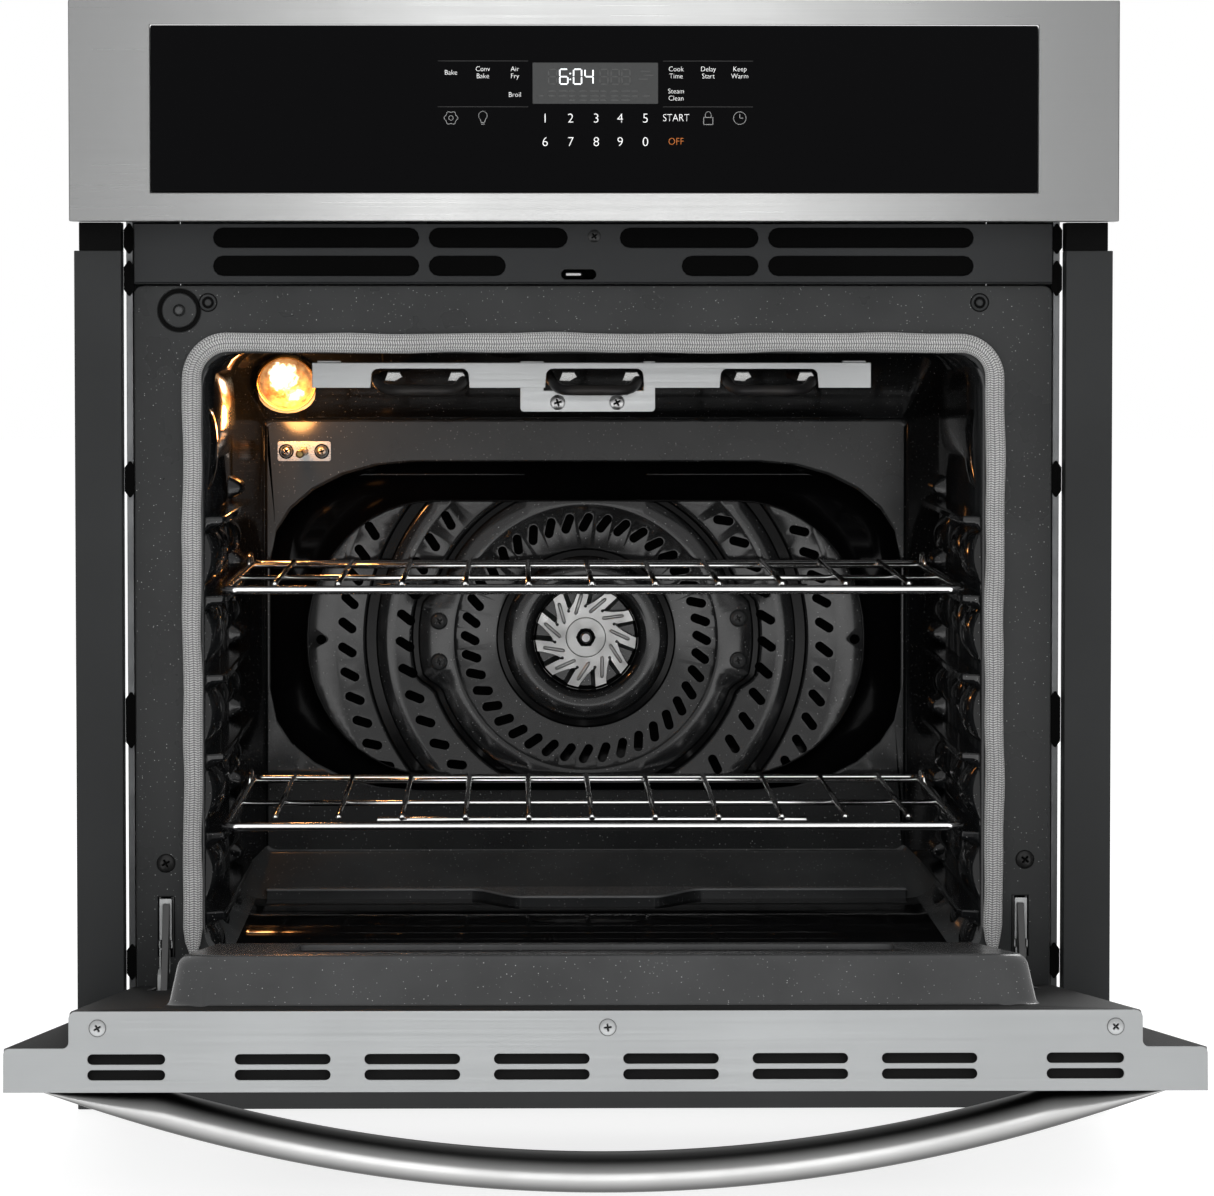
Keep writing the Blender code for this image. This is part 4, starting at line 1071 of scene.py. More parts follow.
def add_pillow(bm, sign, y, z, long, tall, proud, lean=0.0):
    """A rounded swelling pressed out of a side wall."""
    steps_y, steps_z = 14, 12
    grid = []
    for i in range(steps_y + 1):
        row = []
        for j in range(steps_z + 1):
            a, b = 2 * i / steps_y - 1, 2 * j / steps_z - 1
            rise = max(0.0, 1 - abs(a) ** 2.6) ** 0.7 * max(0.0, 1 - abs(b) ** 2.2) ** 0.8
            x = sign * (WALL_X - proud * rise)
            row.append(bm.verts.new((x, y + long * a + lean * b, z + tall * b)))
        grid.append(row)
    faces = []
    for a, b in zip(grid, grid[1:]):
        for j in range(steps_z):
            faces.append(bm.faces.new((a[j], a[j + 1], b[j + 1], b[j])))
    rim = [row[0] for row in grid] + grid[-1][1:] + [row[-1] for row in grid[::-1]][1:] + grid[0][::-1][1:-1]
    plinth = [bm.verts.new((sign * 0.2612, v.co.y, v.co.z)) for v in rim]
    for k in range(len(rim)):
        n = (k + 1) % len(rim)
        faces.append(bm.faces.new((rim[k], rim[n], plinth[n], plinth[k])))
    faces.append(bm.faces.new(plinth))
    bmesh.ops.recalc_face_normals(bm, faces=faces)


def rack_ledges():
    """Rack supports pressed into both side walls: a rail at each height, swellings and a ribbed rear end."""
    for suffix, sign in (("left", -1), ("right", 1)):
        bm = bmesh.new()
        for z in LEDGE_HEIGHTS:
            top, low = z - 0.0034, z - 0.0100
            nose, wall = 0.2452 * sign, WALL_X * sign
            profile = [(wall, low - 0.005), (nose, low + 0.0015), (nose, top), (wall, top)]
            stations = (
                (-0.2665, 0.25), (-0.2610, 0.85), (-0.2540, 1.0), (0.0900, 1.0), (0.0970, 0.85),
                (0.1030, 0.25),
            )
            rings = [
                [bm.verts.new((wall + (x - wall) * reach, y, height)) for x, height in profile]
                for y, reach in stations
            ]
            ends = [bm.faces.new(rings[0]), bm.faces.new(rings[-1])]
            bmesh.ops.recalc_face_normals(bm, faces=ends + join_rings(bm, rings))
        soften_edges(piece("wall_ledges_" + suffix, bm, "enamel_inside", slot="enamel", angle=50), 0.0016, 3, 25)
        bm = bmesh.new()
        for z in LEDGE_HEIGHTS:
            add_pillow(bm, sign, -0.2300, z - 0.0300, 0.0300, 0.0200, 0.0120, 0.006)
            add_pillow(bm, sign, -0.1000, z - 0.0280, 0.0260, 0.0130, 0.0080, 0.004)
            add_pillow(bm, sign, 0.0400, z - 0.0280, 0.0300, 0.0150, 0.0100, -0.004)
            for step in range(3):
                add_pillow(bm, sign, 0.0560 + 0.0170 * step, z + 0.0060, 0.0060, 0.0085, 0.0110)
        add_pillow(bm, sign, -0.1900, 0.4350, 0.0220, 0.0280, 0.0060, 0.010)
        add_pillow(bm, sign, -0.0300, 0.4580, 0.1150, 0.0330, 0.0075)
        piece("wall_swellings_" + suffix, bm, "enamel_inside", slot="enamel", angle=70)


def baffle_outline(i=0.0):
    """The fan cover's outline, drawn in by i."""
    return rounded(-0.2075 + i, 0.183 + i, 0.2075 - i, 0.389 - i, 0.095 - i, 0.0995 - i, steps=12)


def boss_push(turn):
    """How far the groove round the fan is pushed outwards to pass outside the cover's screws."""
    side = min(abs(math.remainder(turn - math.pi, 2 * math.pi)), abs(math.remainder(turn, 2 * math.pi)))
    return 0.0105 * smoothstep((math.radians(20) - side) / math.radians(8))


COVER_RELIEF = (
    # radius from the fan's axis, depth behind the face
    (0.0400, 0.0014), (0.0418, -0.0006), (0.0436, -0.0022), (0.0470, -0.0030), (0.0540, -0.0028),
    (0.0580, -0.0018), (0.0600, 0.0002), (0.0612, 0.0034), (0.0655, 0.0036), (0.0668, 0.0014),
    (0.0690, 0.0010), (0.0968, -0.0010), (0.0976, -0.0017), (0.1000, -0.0022), (0.1105, -0.0012),
    (0.1128, -0.0002), (0.1142, 0.0032), (0.1178, 0.0034), (0.1192, 0.0010), (0.1212, 0.0002),
    (0.1222, 0.0000), (0.1410, -0.0016),
    (0.1420, -0.0021), (0.1525, -0.0008), (0.1548, 0.0006), (0.1560, 0.0034), (0.1630, 0.0036), (0.1644, 0.0012),
    (0.1662, 0.0003), (0.1860, -0.0014), (0.1870, -0.0019), (0.2040, 0.0004), (0.2350, 0.0030),
)


def add_cover_relief(bm):
    """The cover's dished rings: alternating cones and trenches about the fan's axis, as a thick solid."""
    rows = []
    back = 0.0062
    profile = [*COVER_RELIEF, (COVER_RELIEF[-1][0], back), (COVER_RELIEF[0][0], back)]
    for radius, lift in profile:
        share = max(0.0, 1 - abs(radius - 0.116) / 0.0150)
        row = []
        for t in turns(144):
            r = radius + boss_push(t) * min(1.0, 2.2 * share)
            row.append(bm.verts.new((r * math.cos(t), BAFFLE_Y + 0.0012 + lift, FAN_Z + r * math.sin(t))))
        rows.append(row)
    bmesh.ops.recalc_face_normals(bm, faces=join_rings(bm, rows, closed=True))


BOSSES = ((-0.1092, 0.0128), (-0.1092, -0.0175), (0.1132, 0.0148), (0.1132, -0.0166))


def baffle_slots():
    """Places of the punched slots: x, z from the fan's axis, and their turn."""
    places = []
    for k in range(40):
        t = math.radians(9 * k)
        x, z = 0.0861 * math.cos(t), 0.0861 * math.sin(t)
        places.append((x, z, t + math.pi - math.radians(29)))
    bands = ((0.1345, 8.5, -1.9, -5, 5, 0.65), (0.1775, 5.9, 3.1, -6, 4, 0.85))
    for radius, pitch, offset, first, last, swing in bands:
        for k in range(first, last + 1):
            up = offset + pitch * k
            lean = math.radians(35 + swing * up)
            z = radius * math.sin(math.radians(up))
            x = radius * math.cos(math.radians(up))
            places.append((-x, z, -lean))
            lean = math.radians(35 - swing * up)
            places.append((x, z, math.pi - lean))
    return places


def fan_cover():
    """The slotted baffle in front of the fan: rings and trenches, slots, screws and a turned-back edge."""
    bm = bmesh.new()
    add_cover_relief(bm)
    looks = ["enamel_cover", "enamel_recess"]
    plate = piece("baffle_face", bm, looks, slot="enamel", replaces=("fan_baffle",), angle=40)
    tool = bmesh.new()
    add_prism(tool, "y", BAFFLE_Y - 0.010, BAFFLE_Y + 0.020, baffle_outline(0.0012))
    cut(plate, tool, "INTERSECT")
    tool = bmesh.new()
    holes = [slot_outline(x, FAN_Z + z, 0.0153, 0.0068, turn) for x, z, turn in baffle_slots()]
    holes += [circle(x, 0.2850, 0.0036, 20) for x in (-0.1967, 0.2000)]
    for hole in holes:
        add_prism(tool, "y", BAFFLE_Y - 0.004, BAFFLE_Y + 0.012, hole)
    cut(plate, tool)
    plate.data.shade_smooth()
    plate.data.set_sharp_from_angle(angle=math.radians(42))
    # Painted shade: faces behind the cover's face and faces turned sideways, such as the slot and trench walls, take
    # the near-black recess tone.
    for face in plate.data.polygons:
        if face.center.y > BAFFLE_Y + 0.0030 or abs(face.normal.y) < 0.35:
            face.material_index = 1
    # The turned-back edge and the lip round the fan's opening also take the near-black recess tone, as painted shade.
    bm = bmesh.new()
    rows = [
        (baffle_outline(0.0012), 0.1490, 0), (baffle_outline(0.0004), 0.1494, 0), (baffle_outline(), 0.1502, 0),
        (baffle_outline(), 0.1812, 0),
    ]
    add_rows(bm, rows, cap=False)
    as_sheet(piece("baffle_skirt", bm, "enamel_recess", slot="enamel"), 0.0010)
    bm = bmesh.new()
    mouth = [
        (0.0386, 0.0030), (0.0388, 0.0012), (0.0396, 0.0006), (0.0404, 0.0012), (0.0406, 0.0100),
        (0.0386, 0.0100),
    ]
    add_lathe(bm, mouth, (0, BAFFLE_Y, FAN_Z), (0, 1, 0), 72)
    piece("baffle_mouth", bm, "enamel_recess", slot="enamel", angle=30)
    bm = bmesh.new()
    for x, z in BOSSES:
        pad = [(0, -0.0018), (0.0052, -0.0018), (0.0064, -0.0010), (0.0066, -0.0002), (0.0058, 0.0002), (0, 0.0002)]
        add_lathe(bm, pad, (x, BAFFLE_Y, FAN_Z + z), (0, 1, 0), 36)
    piece("baffle_screw_pads", bm, "enamel_back", slot="enamel", angle=40)
    places = [((x, BAFFLE_Y - 0.0016, FAN_Z + z), (0, -1, 0), 0.0052, 0.35 + 9 * z) for x, z in BOSSES]
    screws("baffle_screws", places, "enamel_door", slot="enamel")
    # A near-black sheet behind the cover: painted shade seen through its slots.
    plenum = bmesh.new()
    add_prism(plenum, "y", 0.1795, 0.1806, baffle_outline(0.0030))
    piece("plenum_back_shade", plenum, "black_gap", slot="enamel")


def fan_wheel():
    """Pressed impeller: a flat disc cut into swept blades, each with a pressed rib and a vane behind."""
    centre = Vector((0, 0, FAN_Z))
    blades, front, sheet = 11, 0.1606, 0.0009
    pitch, first = 2 * math.pi / blades, math.radians(-90)
    notch_out, notch_turn, notch_radius = 0.0233, math.radians(49.6), 0.0012

    def blade_axes(blade):
        turn = first + pitch * blade
        return Vector((math.cos(turn), 0, math.sin(turn))), Vector((-math.sin(turn), 0, math.cos(turn)))

    def spot(blade, along, offset, y=front):
        """A point by its distance along a blade and sideways from the fan's axis."""
        ahead, side = blade_axes(blade)
        return centre + ahead * along + side * offset + Vector((0, y, 0))

    edge = (
        (0.0245, 0.0068), (0.0300, 0.0070), (0.0368, 0.0073), (0.0360, 0.0100),
        (0.0342, 0.0153), (0.0304, 0.0151), (0.0228, 0.0158), (0.0180, 0.0169),
    )
    outline = []
    for blade in range(blades):
        for along, offset in edge:
            point = spot(blade, along, offset)
            outline.append((point.x, point.z))
        turn = first + pitch * blade + notch_turn
        out, round_by = Vector((math.cos(turn), math.sin(turn))), Vector((-math.sin(turn), math.cos(turn)))
        for step in range(8):
            u = -0.4 + (math.pi + 0.8) * step / 7
            point = out * (notch_out - notch_radius * math.sin(u)) - round_by * (notch_radius * math.cos(u))
            outline.append((point.x, FAN_Z + point.y))
    bm = bmesh.new()
    add_prism(bm, "y", front, front + sheet, outline, [circle(0, FAN_Z, 0.0150, 64)])
    for blade in range(blades):
        start, end = spot(blade, 0.0140, 0.0122), spot(blade, 0.0304, 0.0120)
        side = blade_axes(blade)[1]
        rows = []
        for step, wide in ((0.0, 0.3), (0.03, 0.75), (0.08, 1.0), (0.92, 1.0), (0.97, 0.75), (1.0, 0.3)):
            middle = start.lerp(end, step) + Vector((0, 0.0002, 0))
            rib = ellipse(0, 0, 0.0014 * wide, 0.0012 * wide, [math.pi * k / 6 for k in range(7)])
            rows.append([bm.verts.new(middle + side * u - Vector((0, lift, 0))) for u, lift in rib])
        bm.faces.new(rows[0])
        bm.faces.new(rows[-1])
        for a, b in zip(rows, rows[1:]):
            for k in range(6):
                bm.faces.new((a[k], a[k + 1], b[k + 1], b[k]))
        back = front + 0.0122
        corners = [spot(blade, 0.0245, 0.0070, front + sheet), spot(blade, 0.0366, 0.0075, front + sheet),
                   spot(blade, 0.0366, 0.0040, back), spot(blade, 0.0245, 0.0030, back)]
        lower = [bm.verts.new(p) for p in corners]
        upper = [bm.verts.new(p + side * 0.0007) for p in corners]
        bm.faces.new(lower)
        bm.faces.new(upper[::-1])
        for k in range(4):
            n = (k + 1) % 4
            bm.faces.new((lower[k], lower[n], upper[n], upper[k]))
    hub = [(0.0068, -0.0006), (0.0143, -0.0006), (0.0147, -0.0002), (0.0147, 0.0012), (0.0068, 0.0012)]
    hub_front = centre + Vector((0, front, 0))
    add_lathe(bm, hub, hub_front, (0, 1, 0), 64)
    bmesh.ops.recalc_face_normals(bm, faces=bm.faces[:])
    piece("impeller_pressing", bm, "impeller_steel", "fan", slot="bright_steel", replaces=("fan_impeller",), angle=40)
    bm = bmesh.new()
    seam = [(0.0140, 0.0003), (0.0158, 0.0003), (0.0158, 0.0012), (0.0140, 0.0012)]
    add_lathe(bm, seam, hub_front, (0, 1, 0), 64)
    piece("impeller_seam", bm, "black_gap", "fan", slot="bright_steel")
    bm = bmesh.new()
    ring = [(0.0150, 0.0118), (0.0366, 0.0118), (0.0366, 0.0126), (0.0150, 0.0126)]
    add_lathe(bm, ring, hub_front, (0, 1, 0), 64)
    piece("impeller_back_ring", bm, "enamel_back", "fan", slot="bright_steel")
    bm = bmesh.new()
    add_prism(bm, "y", 0.1570, front, circle(0, FAN_Z, 0.0074, 6))
    nut = piece("impeller_nut", bm, "black_gap", "fan", slot="bright_steel", replaces=("fan_shaft",))
    soften_edges(nut, 0.0006, 3)
    bm = bmesh.new()
    shaft = [(0, -0.0018), (0.0030, -0.0018), (0.0042, -0.0006), (0.0044, 0.0004), (0.0044, 0.0740), (0, 0.0740)]
    add_lathe(bm, shaft, (0, 0.1556, FAN_Z), (0, 1, 0), 40)
    piece("impeller_shaft", bm, "zinc_screw", "fan", slot="bright_steel")
    softened("fan_motor", "galvanised", 0.001)


def serpentine(x0, pitch, legs, front, back, z, dip=0.0):
    """A run of legs joined by half-turns, the front ones dipping a little."""
    points = []
    radius = pitch / 2
    for leg in range(legs):
        x = x0 + leg * pitch
        forward = leg % 2 == 0
        start, end = (back - radius, front + radius) if forward else (front + radius, back - radius)
        if leg == 0:
            start = back + 0.01
        if leg == legs - 1:
            end = back + 0.01
        points += [(x, start, z), (x, end, z)]
        if leg == legs - 1:
            break
        for step in range(1, 16):
            turn = math.pi * step / 16
            reach = radius * math.sin(turn) * (-1 if forward else 1)
            drop = dip * smoothstep(math.sin(turn) * 1.3) if forward else 0
            points.append((x + radius * (1 - math.cos(turn)), end + reach, z - drop))
    return points


def floor_step():
    """The raised panel along the back of the cavity's floor, its front edge stepping forward in the middle."""
    half, side_y, middle_y, back_y, top = 0.2360, 0.1090, 0.0560, 0.1480, 0.1035
    front = []
    for k in range(13):
        share = k / 12
        front.append((-0.0850 + 0.0370 * share, side_y + (middle_y - side_y) * smoothstep(share)))
    mirrored = [(-x, y) for x, y in front[::-1]]
    outline = [(-half, back_y), (-half, side_y), *front, *mirrored, (half, side_y), (half, back_y)]
    bm = bmesh.new()
    add_prism(bm, "z", 0.0950, top, outline)
    # Painted highlight: the step's flat top faces take a much lighter tone than its sides.
    for face in bm.faces:
        if abs(face.normal.z) > 0.9:
            face.material_index = 1
    made = piece("cavity_floor_step", bm, ["enamel_step", "enamel_tread"], slot="enamel", angle=50)
    soften_edges(made, 0.0032, 4)
    # A thin bead along the step's front top edge in the same light tone: a painted highlight line.
    edge = [(x, y - 0.0003, top - 0.0010) for x, y in outline[1:-1]]
    bm = bmesh.new()
    add_tube(bm, edge, 0.0008, 8)
    piece("cavity_floor_step_bead", bm, "enamel_tread", slot="enamel", angle=60)


def broiler():
    """The top element with its front bar, wire clips and centre bracket."""
    pitch = 0.0595
    middle = 0.0020
    x0 = middle - 2.5 * pitch
    bm = bmesh.new()
    add_tube(bm, serpentine(x0, pitch, 6, -0.2120, 0.1120, 0.4820, 0.0070), 0.0036, 14)
    piece("broil_tube", bm, "heater_tube", replaces=("broil_element",))
    bm = bmesh.new()
    add_tube(bm, serpentine(-0.20, 0.08, 6, -0.24, 0.12, 0.0880), 0.0030, 12)
    piece("bake_tube", bm, "heater_tube", replaces=("bake_element",))

    low, high, half, notch_top, round_by = 0.4764, 0.4935, 0.0330, 0.4893, 0.0045
    outline = [(-0.1905, low)]
    for loop in (-1, 0, 1):
        centre = middle + loop * 2 * pitch
        outline += [(centre - half - 0.0006, low), (centre - half, notch_top - round_by)]
        for step in range(1, 6):
            t = math.pi / 2 * step / 6
            outline.append((centre - half + round_by * (1 - math.cos(t)), notch_top - round_by * (1 - math.sin(t))))
        outline += [(centre - half + round_by, notch_top), (centre + half - round_by, notch_top)]
        for step in range(1, 6):
            t = math.pi / 2 * step / 6
            outline.append((centre + half - round_by * (1 - math.sin(t)), notch_top - round_by * (1 - math.cos(t))))
        outline += [(centre + half, notch_top - round_by), (centre + half + 0.0006, low)]
    outline += [(0.1905, low), (0.1905, high), (-0.1905, high)]
    bm = bmesh.new()
    add_prism(bm, "y", -0.1900, -0.1888, outline)
    add_prism(bm, "z", high - 0.0012, high, rectangle(-0.1900, -0.1890, 0.1900, -0.1790))
    for x in (-0.1790, 0.1790):
        add_prism(bm, "z", high, high + 0.0013, rectangle(x - 0.0080, -0.1885, x + 0.0080, -0.1800))
    soften_edges(piece("broil_bar", bm, "light_steel", slot="bright_steel", replaces=("broil_support_bar",)), 0.0004)

    left, right, foot, head, corner = -0.0487, 0.0432, 0.4600, 0.4945, 0.0022
    plate = [
        (left, foot + corner), (left + corner * 0.3, foot + corner * 0.3), (left + corner, foot), (right - corner, foot),
        (right - corner * 0.3, foot + corner * 0.3), (right, foot + corner), (right, head), (right - 0.0080, head),
        (right - 0.0080, 0.4745), (left + 0.0160, 0.4745), (left + 0.0160, head), (left, head),
    ]
    bm = bmesh.new()
    add_prism(bm, "y", -0.1886, -0.1874, plate)
    made = piece("broil_bracket", bm, "light_steel", slot="bright_steel", replaces=("broil_bracket_plate",))
    soften_edges(made, 0.0004)
    places = [((x, -0.1886, 0.4664), (0, -1, 0), 0.0052, 0.4 + 5 * x) for x in (-0.0232, 0.0172)]
    screws("broil_bracket_screws", places)

    bm = bmesh.new()
    clip_places = [middle + loop * 2 * pitch + 0.0025 + side for loop in (-1, 0, 1) for side in (-0.0215, 0.0215)]
    for x in clip_places:
        clip = [
            (x - 0.0052, 0.4812), (x - 0.0030, 0.4868), (x + 0.0052, 0.4868), (x + 0.0070, 0.4838),
            (x + 0.0020, 0.4808),
        ]
        add_prism(bm, "y", -0.1880, -0.1868, clip)
        add_prism(bm, "z", 0.4862, 0.4872, rectangle(x - 0.0030, -0.1868, x + 0.0052, -0.1700))
    soften_edges(piece("broil_clips", bm, "bright_steel"), 0.0003)


def lamp():
    """The lit lamp: ribbed glass dome over its bulb and ceramic holder, in the rear top corner."""
    axis = Vector((0, -1, -0.42)).normalized()
    base = Vector((-0.2207, 0.1303, 0.4800)) + axis * 0.0060
    softened("light_socket", "ceramic", 0.0006)
    softened("light_bulb", "clear_glass", 0.001)
    u, v = frame_along(axis)
    dome, start, count, steps = 0.0200, 0.0043, 64, 14
    bm = bmesh.new()
    rows = []
    for row in range(steps):
        t = math.pi / 2 * row / steps
        ring = []
        for turn in turns(count):
            rib = 1 + 0.022 * math.cos(16 * turn) * math.sin(2 * t) ** 2 + 0.015 * math.cos(9 * t)
            radius = dome * math.cos(t) * rib
            along = start + 0.62 * dome * math.sin(t) * (1 + 0.01 * math.cos(8 * turn))
            ring.append(bm.verts.new(base + radius * (u * math.cos(turn) + v * math.sin(turn)) + axis * along))
        rows.append(ring)
    rows.append([bm.verts.new(base + axis * (start + 0.62 * dome))])
    join_rings(bm, rows)
    bm.faces.new(rows[0])
    bmesh.ops.recalc_face_normals(bm, faces=bm.faces[:])
    piece("light_glass_dome", bm, "clear_glass", replaces=("light_lens",), angle=60)
    bm = bmesh.new()
    rim = [
        (0.0196, 0.0022), (0.0222, 0.0022), (0.0222, 0.0050), (0.0212, 0.0062), (0.0202, 0.0058),
        (0.0196, 0.0050),
    ]
    add_lathe(bm, rim, base, axis, 64)
    piece("light_rim", bm, "brass", slot="bright_steel")


def sensor():
    softened("sensor_probe", "brass", 0.0005)
    bm = bmesh.new()
    outline, hole = rounded(-0.2290, 0.4175, -0.1895, 0.4322, 0.0018), circle(-0.2095, 0.4247, 0.0033, 24)
    add_prism(bm, "y", 0.1582, 0.1597, outline, [hole])
    soften_edges(piece("sensor_mount", bm, "bright_steel", replaces=("sensor_plate",)), 0.0004)
    places = [((x, 0.1582, 0.4247), (0, -1, 0), 0.0042, turn) for x, turn in ((-0.2226, 0.6), (-0.1962, 0.3))]
    screws("sensor_screws", places)
    bm = bmesh.new()
    for x in (-0.2226, -0.1962):
        dimple = [(0.0044, -0.0003), (0.0056, -0.0003), (0.0056, 0.0), (0.0044, 0.0)]
        add_lathe(bm, dimple, (x, 0.1582, 0.4247), (0, 1, 0), 36)
    piece("sensor_dimples", bm, "black_gap", slot="bright_steel")


def rack(level, z):
    """A wire rack: a thick rim, three bars across it, and long wires with domed front ends."""
    half, front, back, pitch, count = 0.247, -0.262, 0.137, 0.0432, 11
    bm = bmesh.new()
    rim = rounded(-half, front, half, back, 0.009, steps=8)
    add_tube(bm, [(u, v, z) for u, v in rim], 0.0029, 16, closed=True)
    wire_z, bar_z = z + 0.0017, z - 0.0010
    first = -(count - 1) / 2 * pitch
    dome = [
        (0, -0.0024), (0.0013, -0.0021), (0.0022, -0.0011), (0.0025, 0.0), (0.0022, 0.0012),
        (0.0018, 0.0020), (0, 0.0020),
    ]
    for wire in range(count):
        x = first + wire * pitch
        add_tube(bm, [(x, -0.2025, wire_z), (x, 0.1375, wire_z)], 0.0019, 12)
        add_lathe(bm, dome, (x, -0.2030, wire_z - 0.0004), (0, 1, 0), 16)
    for reach, y in ((-first - 1.6 * pitch, -0.1995), (half - 0.001, -0.0665), (half - 0.001, 0.1270)):
        add_tube(bm, [(-reach, y, bar_z), (reach, y, bar_z)], 0.0021, 12)
    stop = ((0.0700, 0.0), (0.0720, 0.0070), (0.0760, 0.0090), (0.1000, 0.0090), (0.1040, 0.0070), (0.1060, 0.0))
    for sign in (-1, 1):
        add_tube(bm, [(sign * (half - 0.0005), y, z + lift) for y, lift in stop], 0.0018, 10)
    piece(level + "_rack_wires", bm, "chrome", level + "_rack", replaces=(level + "_rack",), angle=50)


# ---------------------------------------------------------------- door


def door_box():
    """The outer skin with its window glass, and the enamelled inner liner with its raised plug."""
    skin = softened("door_outer_skin", "brushed_steel", 0.0012, 3, "door")
    tool = bmesh.new()
    add_prism(tool, "z", 0.5700, 0.5900, rectangle(-0.3000, -0.3410, 0.3000, -0.3225))
    tool.transform(DOOR_TURN)
    cut(skin, tool)
    # Painted shade: the skin's faces turned towards the oven take the near-black gap and shade tone.
    skin.data.materials.append(LOOKS["black_gap"])
    inward = DOOR_TURN.to_3x3() @ Vector((0, 1, 0))
    for face in skin.data.polygons:
        if face.normal.dot(inward) > 0.9:
            face.material_index = len(skin.data.materials) - 1
    softened("door_window_glass", "dark_glass", 0.0008, 2, "door")
    softened("door_glass_retainer", "galvanised", 0.0004, 2, "door")
    softened("door_inner_glass", "dark_glass", 0.0008, 2, "door")
    back, flange, plug = -0.3192, FLANGE_Y, -0.2685
    rim = rounded(-LINER_HALF, 0.045, LINER_HALF, 0.5805, 0.0040, steps=9)
    foot = rounded(-0.2562, 0.1030, 0.2562, 0.4940, 0.0260, steps=9)
    head = rounded(-0.2500, 0.1120, 0.2500, 0.4850, 0.0230, steps=9)
    window = rounded(-0.1900, 0.1800, 0.1900, 0.4000, 0.0120, steps=9)
    bm = bmesh.new()
    rows = [
        (rim, back, 0), (rim, flange, 0), (foot, flange, 0), (head, plug, 0), (window, plug, 0),
        (window, plug - 0.0018, 0),
    ]
    add_rows(bm, rows, cap=False)
    outward = max(bm.faces, key=lambda f: f.calc_center_median().y if abs(f.normal.y) > 0.9 else -1)
    if outward.normal.y < 0:
        bmesh.ops.reverse_faces(bm, faces=bm.faces[:])
    liner = piece("door_liner_pressing", bm, "enamel_door", "door", slot="enamel", replaces=("door_inner_liner",))
    weights = liner.data.attributes.new("bevel_weight_edge", "FLOAT", "EDGE")
    levels = {round(flange, 4): ((rim, 0.30), (foot, 0.55)), round(plug, 4): ((head, 1.0), (window, 0.12))}
    for edge in liner.data.edges:
        a, b = (liner.data.vertices[i].co for i in edge.vertices)
        if abs(a.y - b.y) > 1e-6:
            continue
        for outline, weight in levels.get(round(a.y, 4), ()):
            spots = {(round(u, 5), round(v, 5)) for u, v in outline}
            if (round(a.x, 5), round(a.z, 5)) in spots and (round(b.x, 5), round(b.z, 5)) in spots:
                weights.data[edge.index].value = weight
    bevel = liner.modifiers.new("bends", "BEVEL")
    bevel.width, bevel.segments, bevel.limit_method = 0.0070, 6, "WEIGHT"
    apply_modifiers(as_sheet(liner, 0.0012))
    tool = bmesh.new()
    for sign in (-1, 1):
        low_x, high_x = sorted((0.2782 * sign, 0.2908 * sign))
        add_prism(tool, "z", 0.040, 0.142, rectangle(low_x, -0.33, high_x, -0.29))
    cut(liner, tool)
    liner.data.shade_smooth()
    liner.data.set_sharp_from_angle(angle=math.radians(50))
    # Painted shade: the liner's flat rim round the plug takes a near-black tone.
    liner.data.materials.append(LOOKS["enamel_ledge"])
    for face in liner.data.polygons:
        if face.normal.y > 0.9 and abs(face.center.y - flange) < 0.002:
            face.material_index = len(liner.data.materials) - 1
    liner.data.transform(DOOR_TURN)


def cap():
    """The vented strip on the door's top end."""
    pivot_y, low, high = PIVOT.y, 0.5808, 0.5830
    skin_half, skin_back = 0.3430, -0.3195

    def fillet(x, y, radius, start, end):
        """A rounded corner, in x and y, between two angles in degrees."""
        points = arc((x, y, 0), (1, 0, 0), (0, 1, 0), radius, math.radians(start), math.radians(end), 5)
        return [(p.x, p.y) for p in points]

    r_top, r_step, r_end = 0.0040, 0.0035, 0.0035
    right = [(skin_half, PANEL_FACE), (skin_half, skin_back - r_end)]
    right += fillet(skin_half - r_end, skin_back - r_end, r_end, 0, 90)[1:]
    right += fillet(LINER_HALF + r_step, skin_back + r_step, r_step, 270, 180)
    right += fillet(LINER_HALF - r_top, FLANGE_Y - r_top, r_top, 0, 90)
    left = [(-x, y) for x, y in right][::-1]
    spans = [(0.0096 + 0.0737 * k, 0.0640 + 0.0737 * k) for k in range(3)] + [(0.2510, 0.2952)]
    slots = []
    for near in (pivot_y - 0.0171, pivot_y - 0.0082):
        for start, end in spans:
            for a, b in ((start, end), (-end, -start)):
                slots.append(rounded(a, near, b, near + 0.0059, 0.0029))
    bm = bmesh.new()
    add_prism(bm, "z", low, high, right + left, slots)
    made = piece("door_top_cap", bm, "cap_steel", "door", slot="light_steel", replaces=("door_cap",), closed=True)
    soften_edges(made, 0.0004, 2)
    heads = ((-0.2895, 0.5), (0.0008, 0.1), (0.2905, 0.8))
    places = [((x, -0.3080, high), (0, 0, 1), 0.0046, turn) for x, turn in heads]
    screws("door_cap_screws", places, "light_steel", "door", "light_steel", closed=True)
    bm = bmesh.new()
    for centre, _, _, _ in places:
        add_lathe(bm, [(0, 0.0), (0.0050, 0.0), (0.0050, 0.00015), (0, 0.00015)], centre, (0, 0, 1), 40)
    piece("door_cap_screw_seats", bm, "arm_steel", "door", slot="light_steel", closed=True)
    # A near-black sheet under the cap: painted shade seen through its slots.
    bm = bmesh.new()
    add_prism(bm, "z", low - 0.0090, low - 0.0080, rectangle(-0.3020, -0.3420, 0.3020, -0.3020))
    piece("door_cap_shade_sheet", bm, "enamel_ledge", "door", slot="galvanised", closed=True)


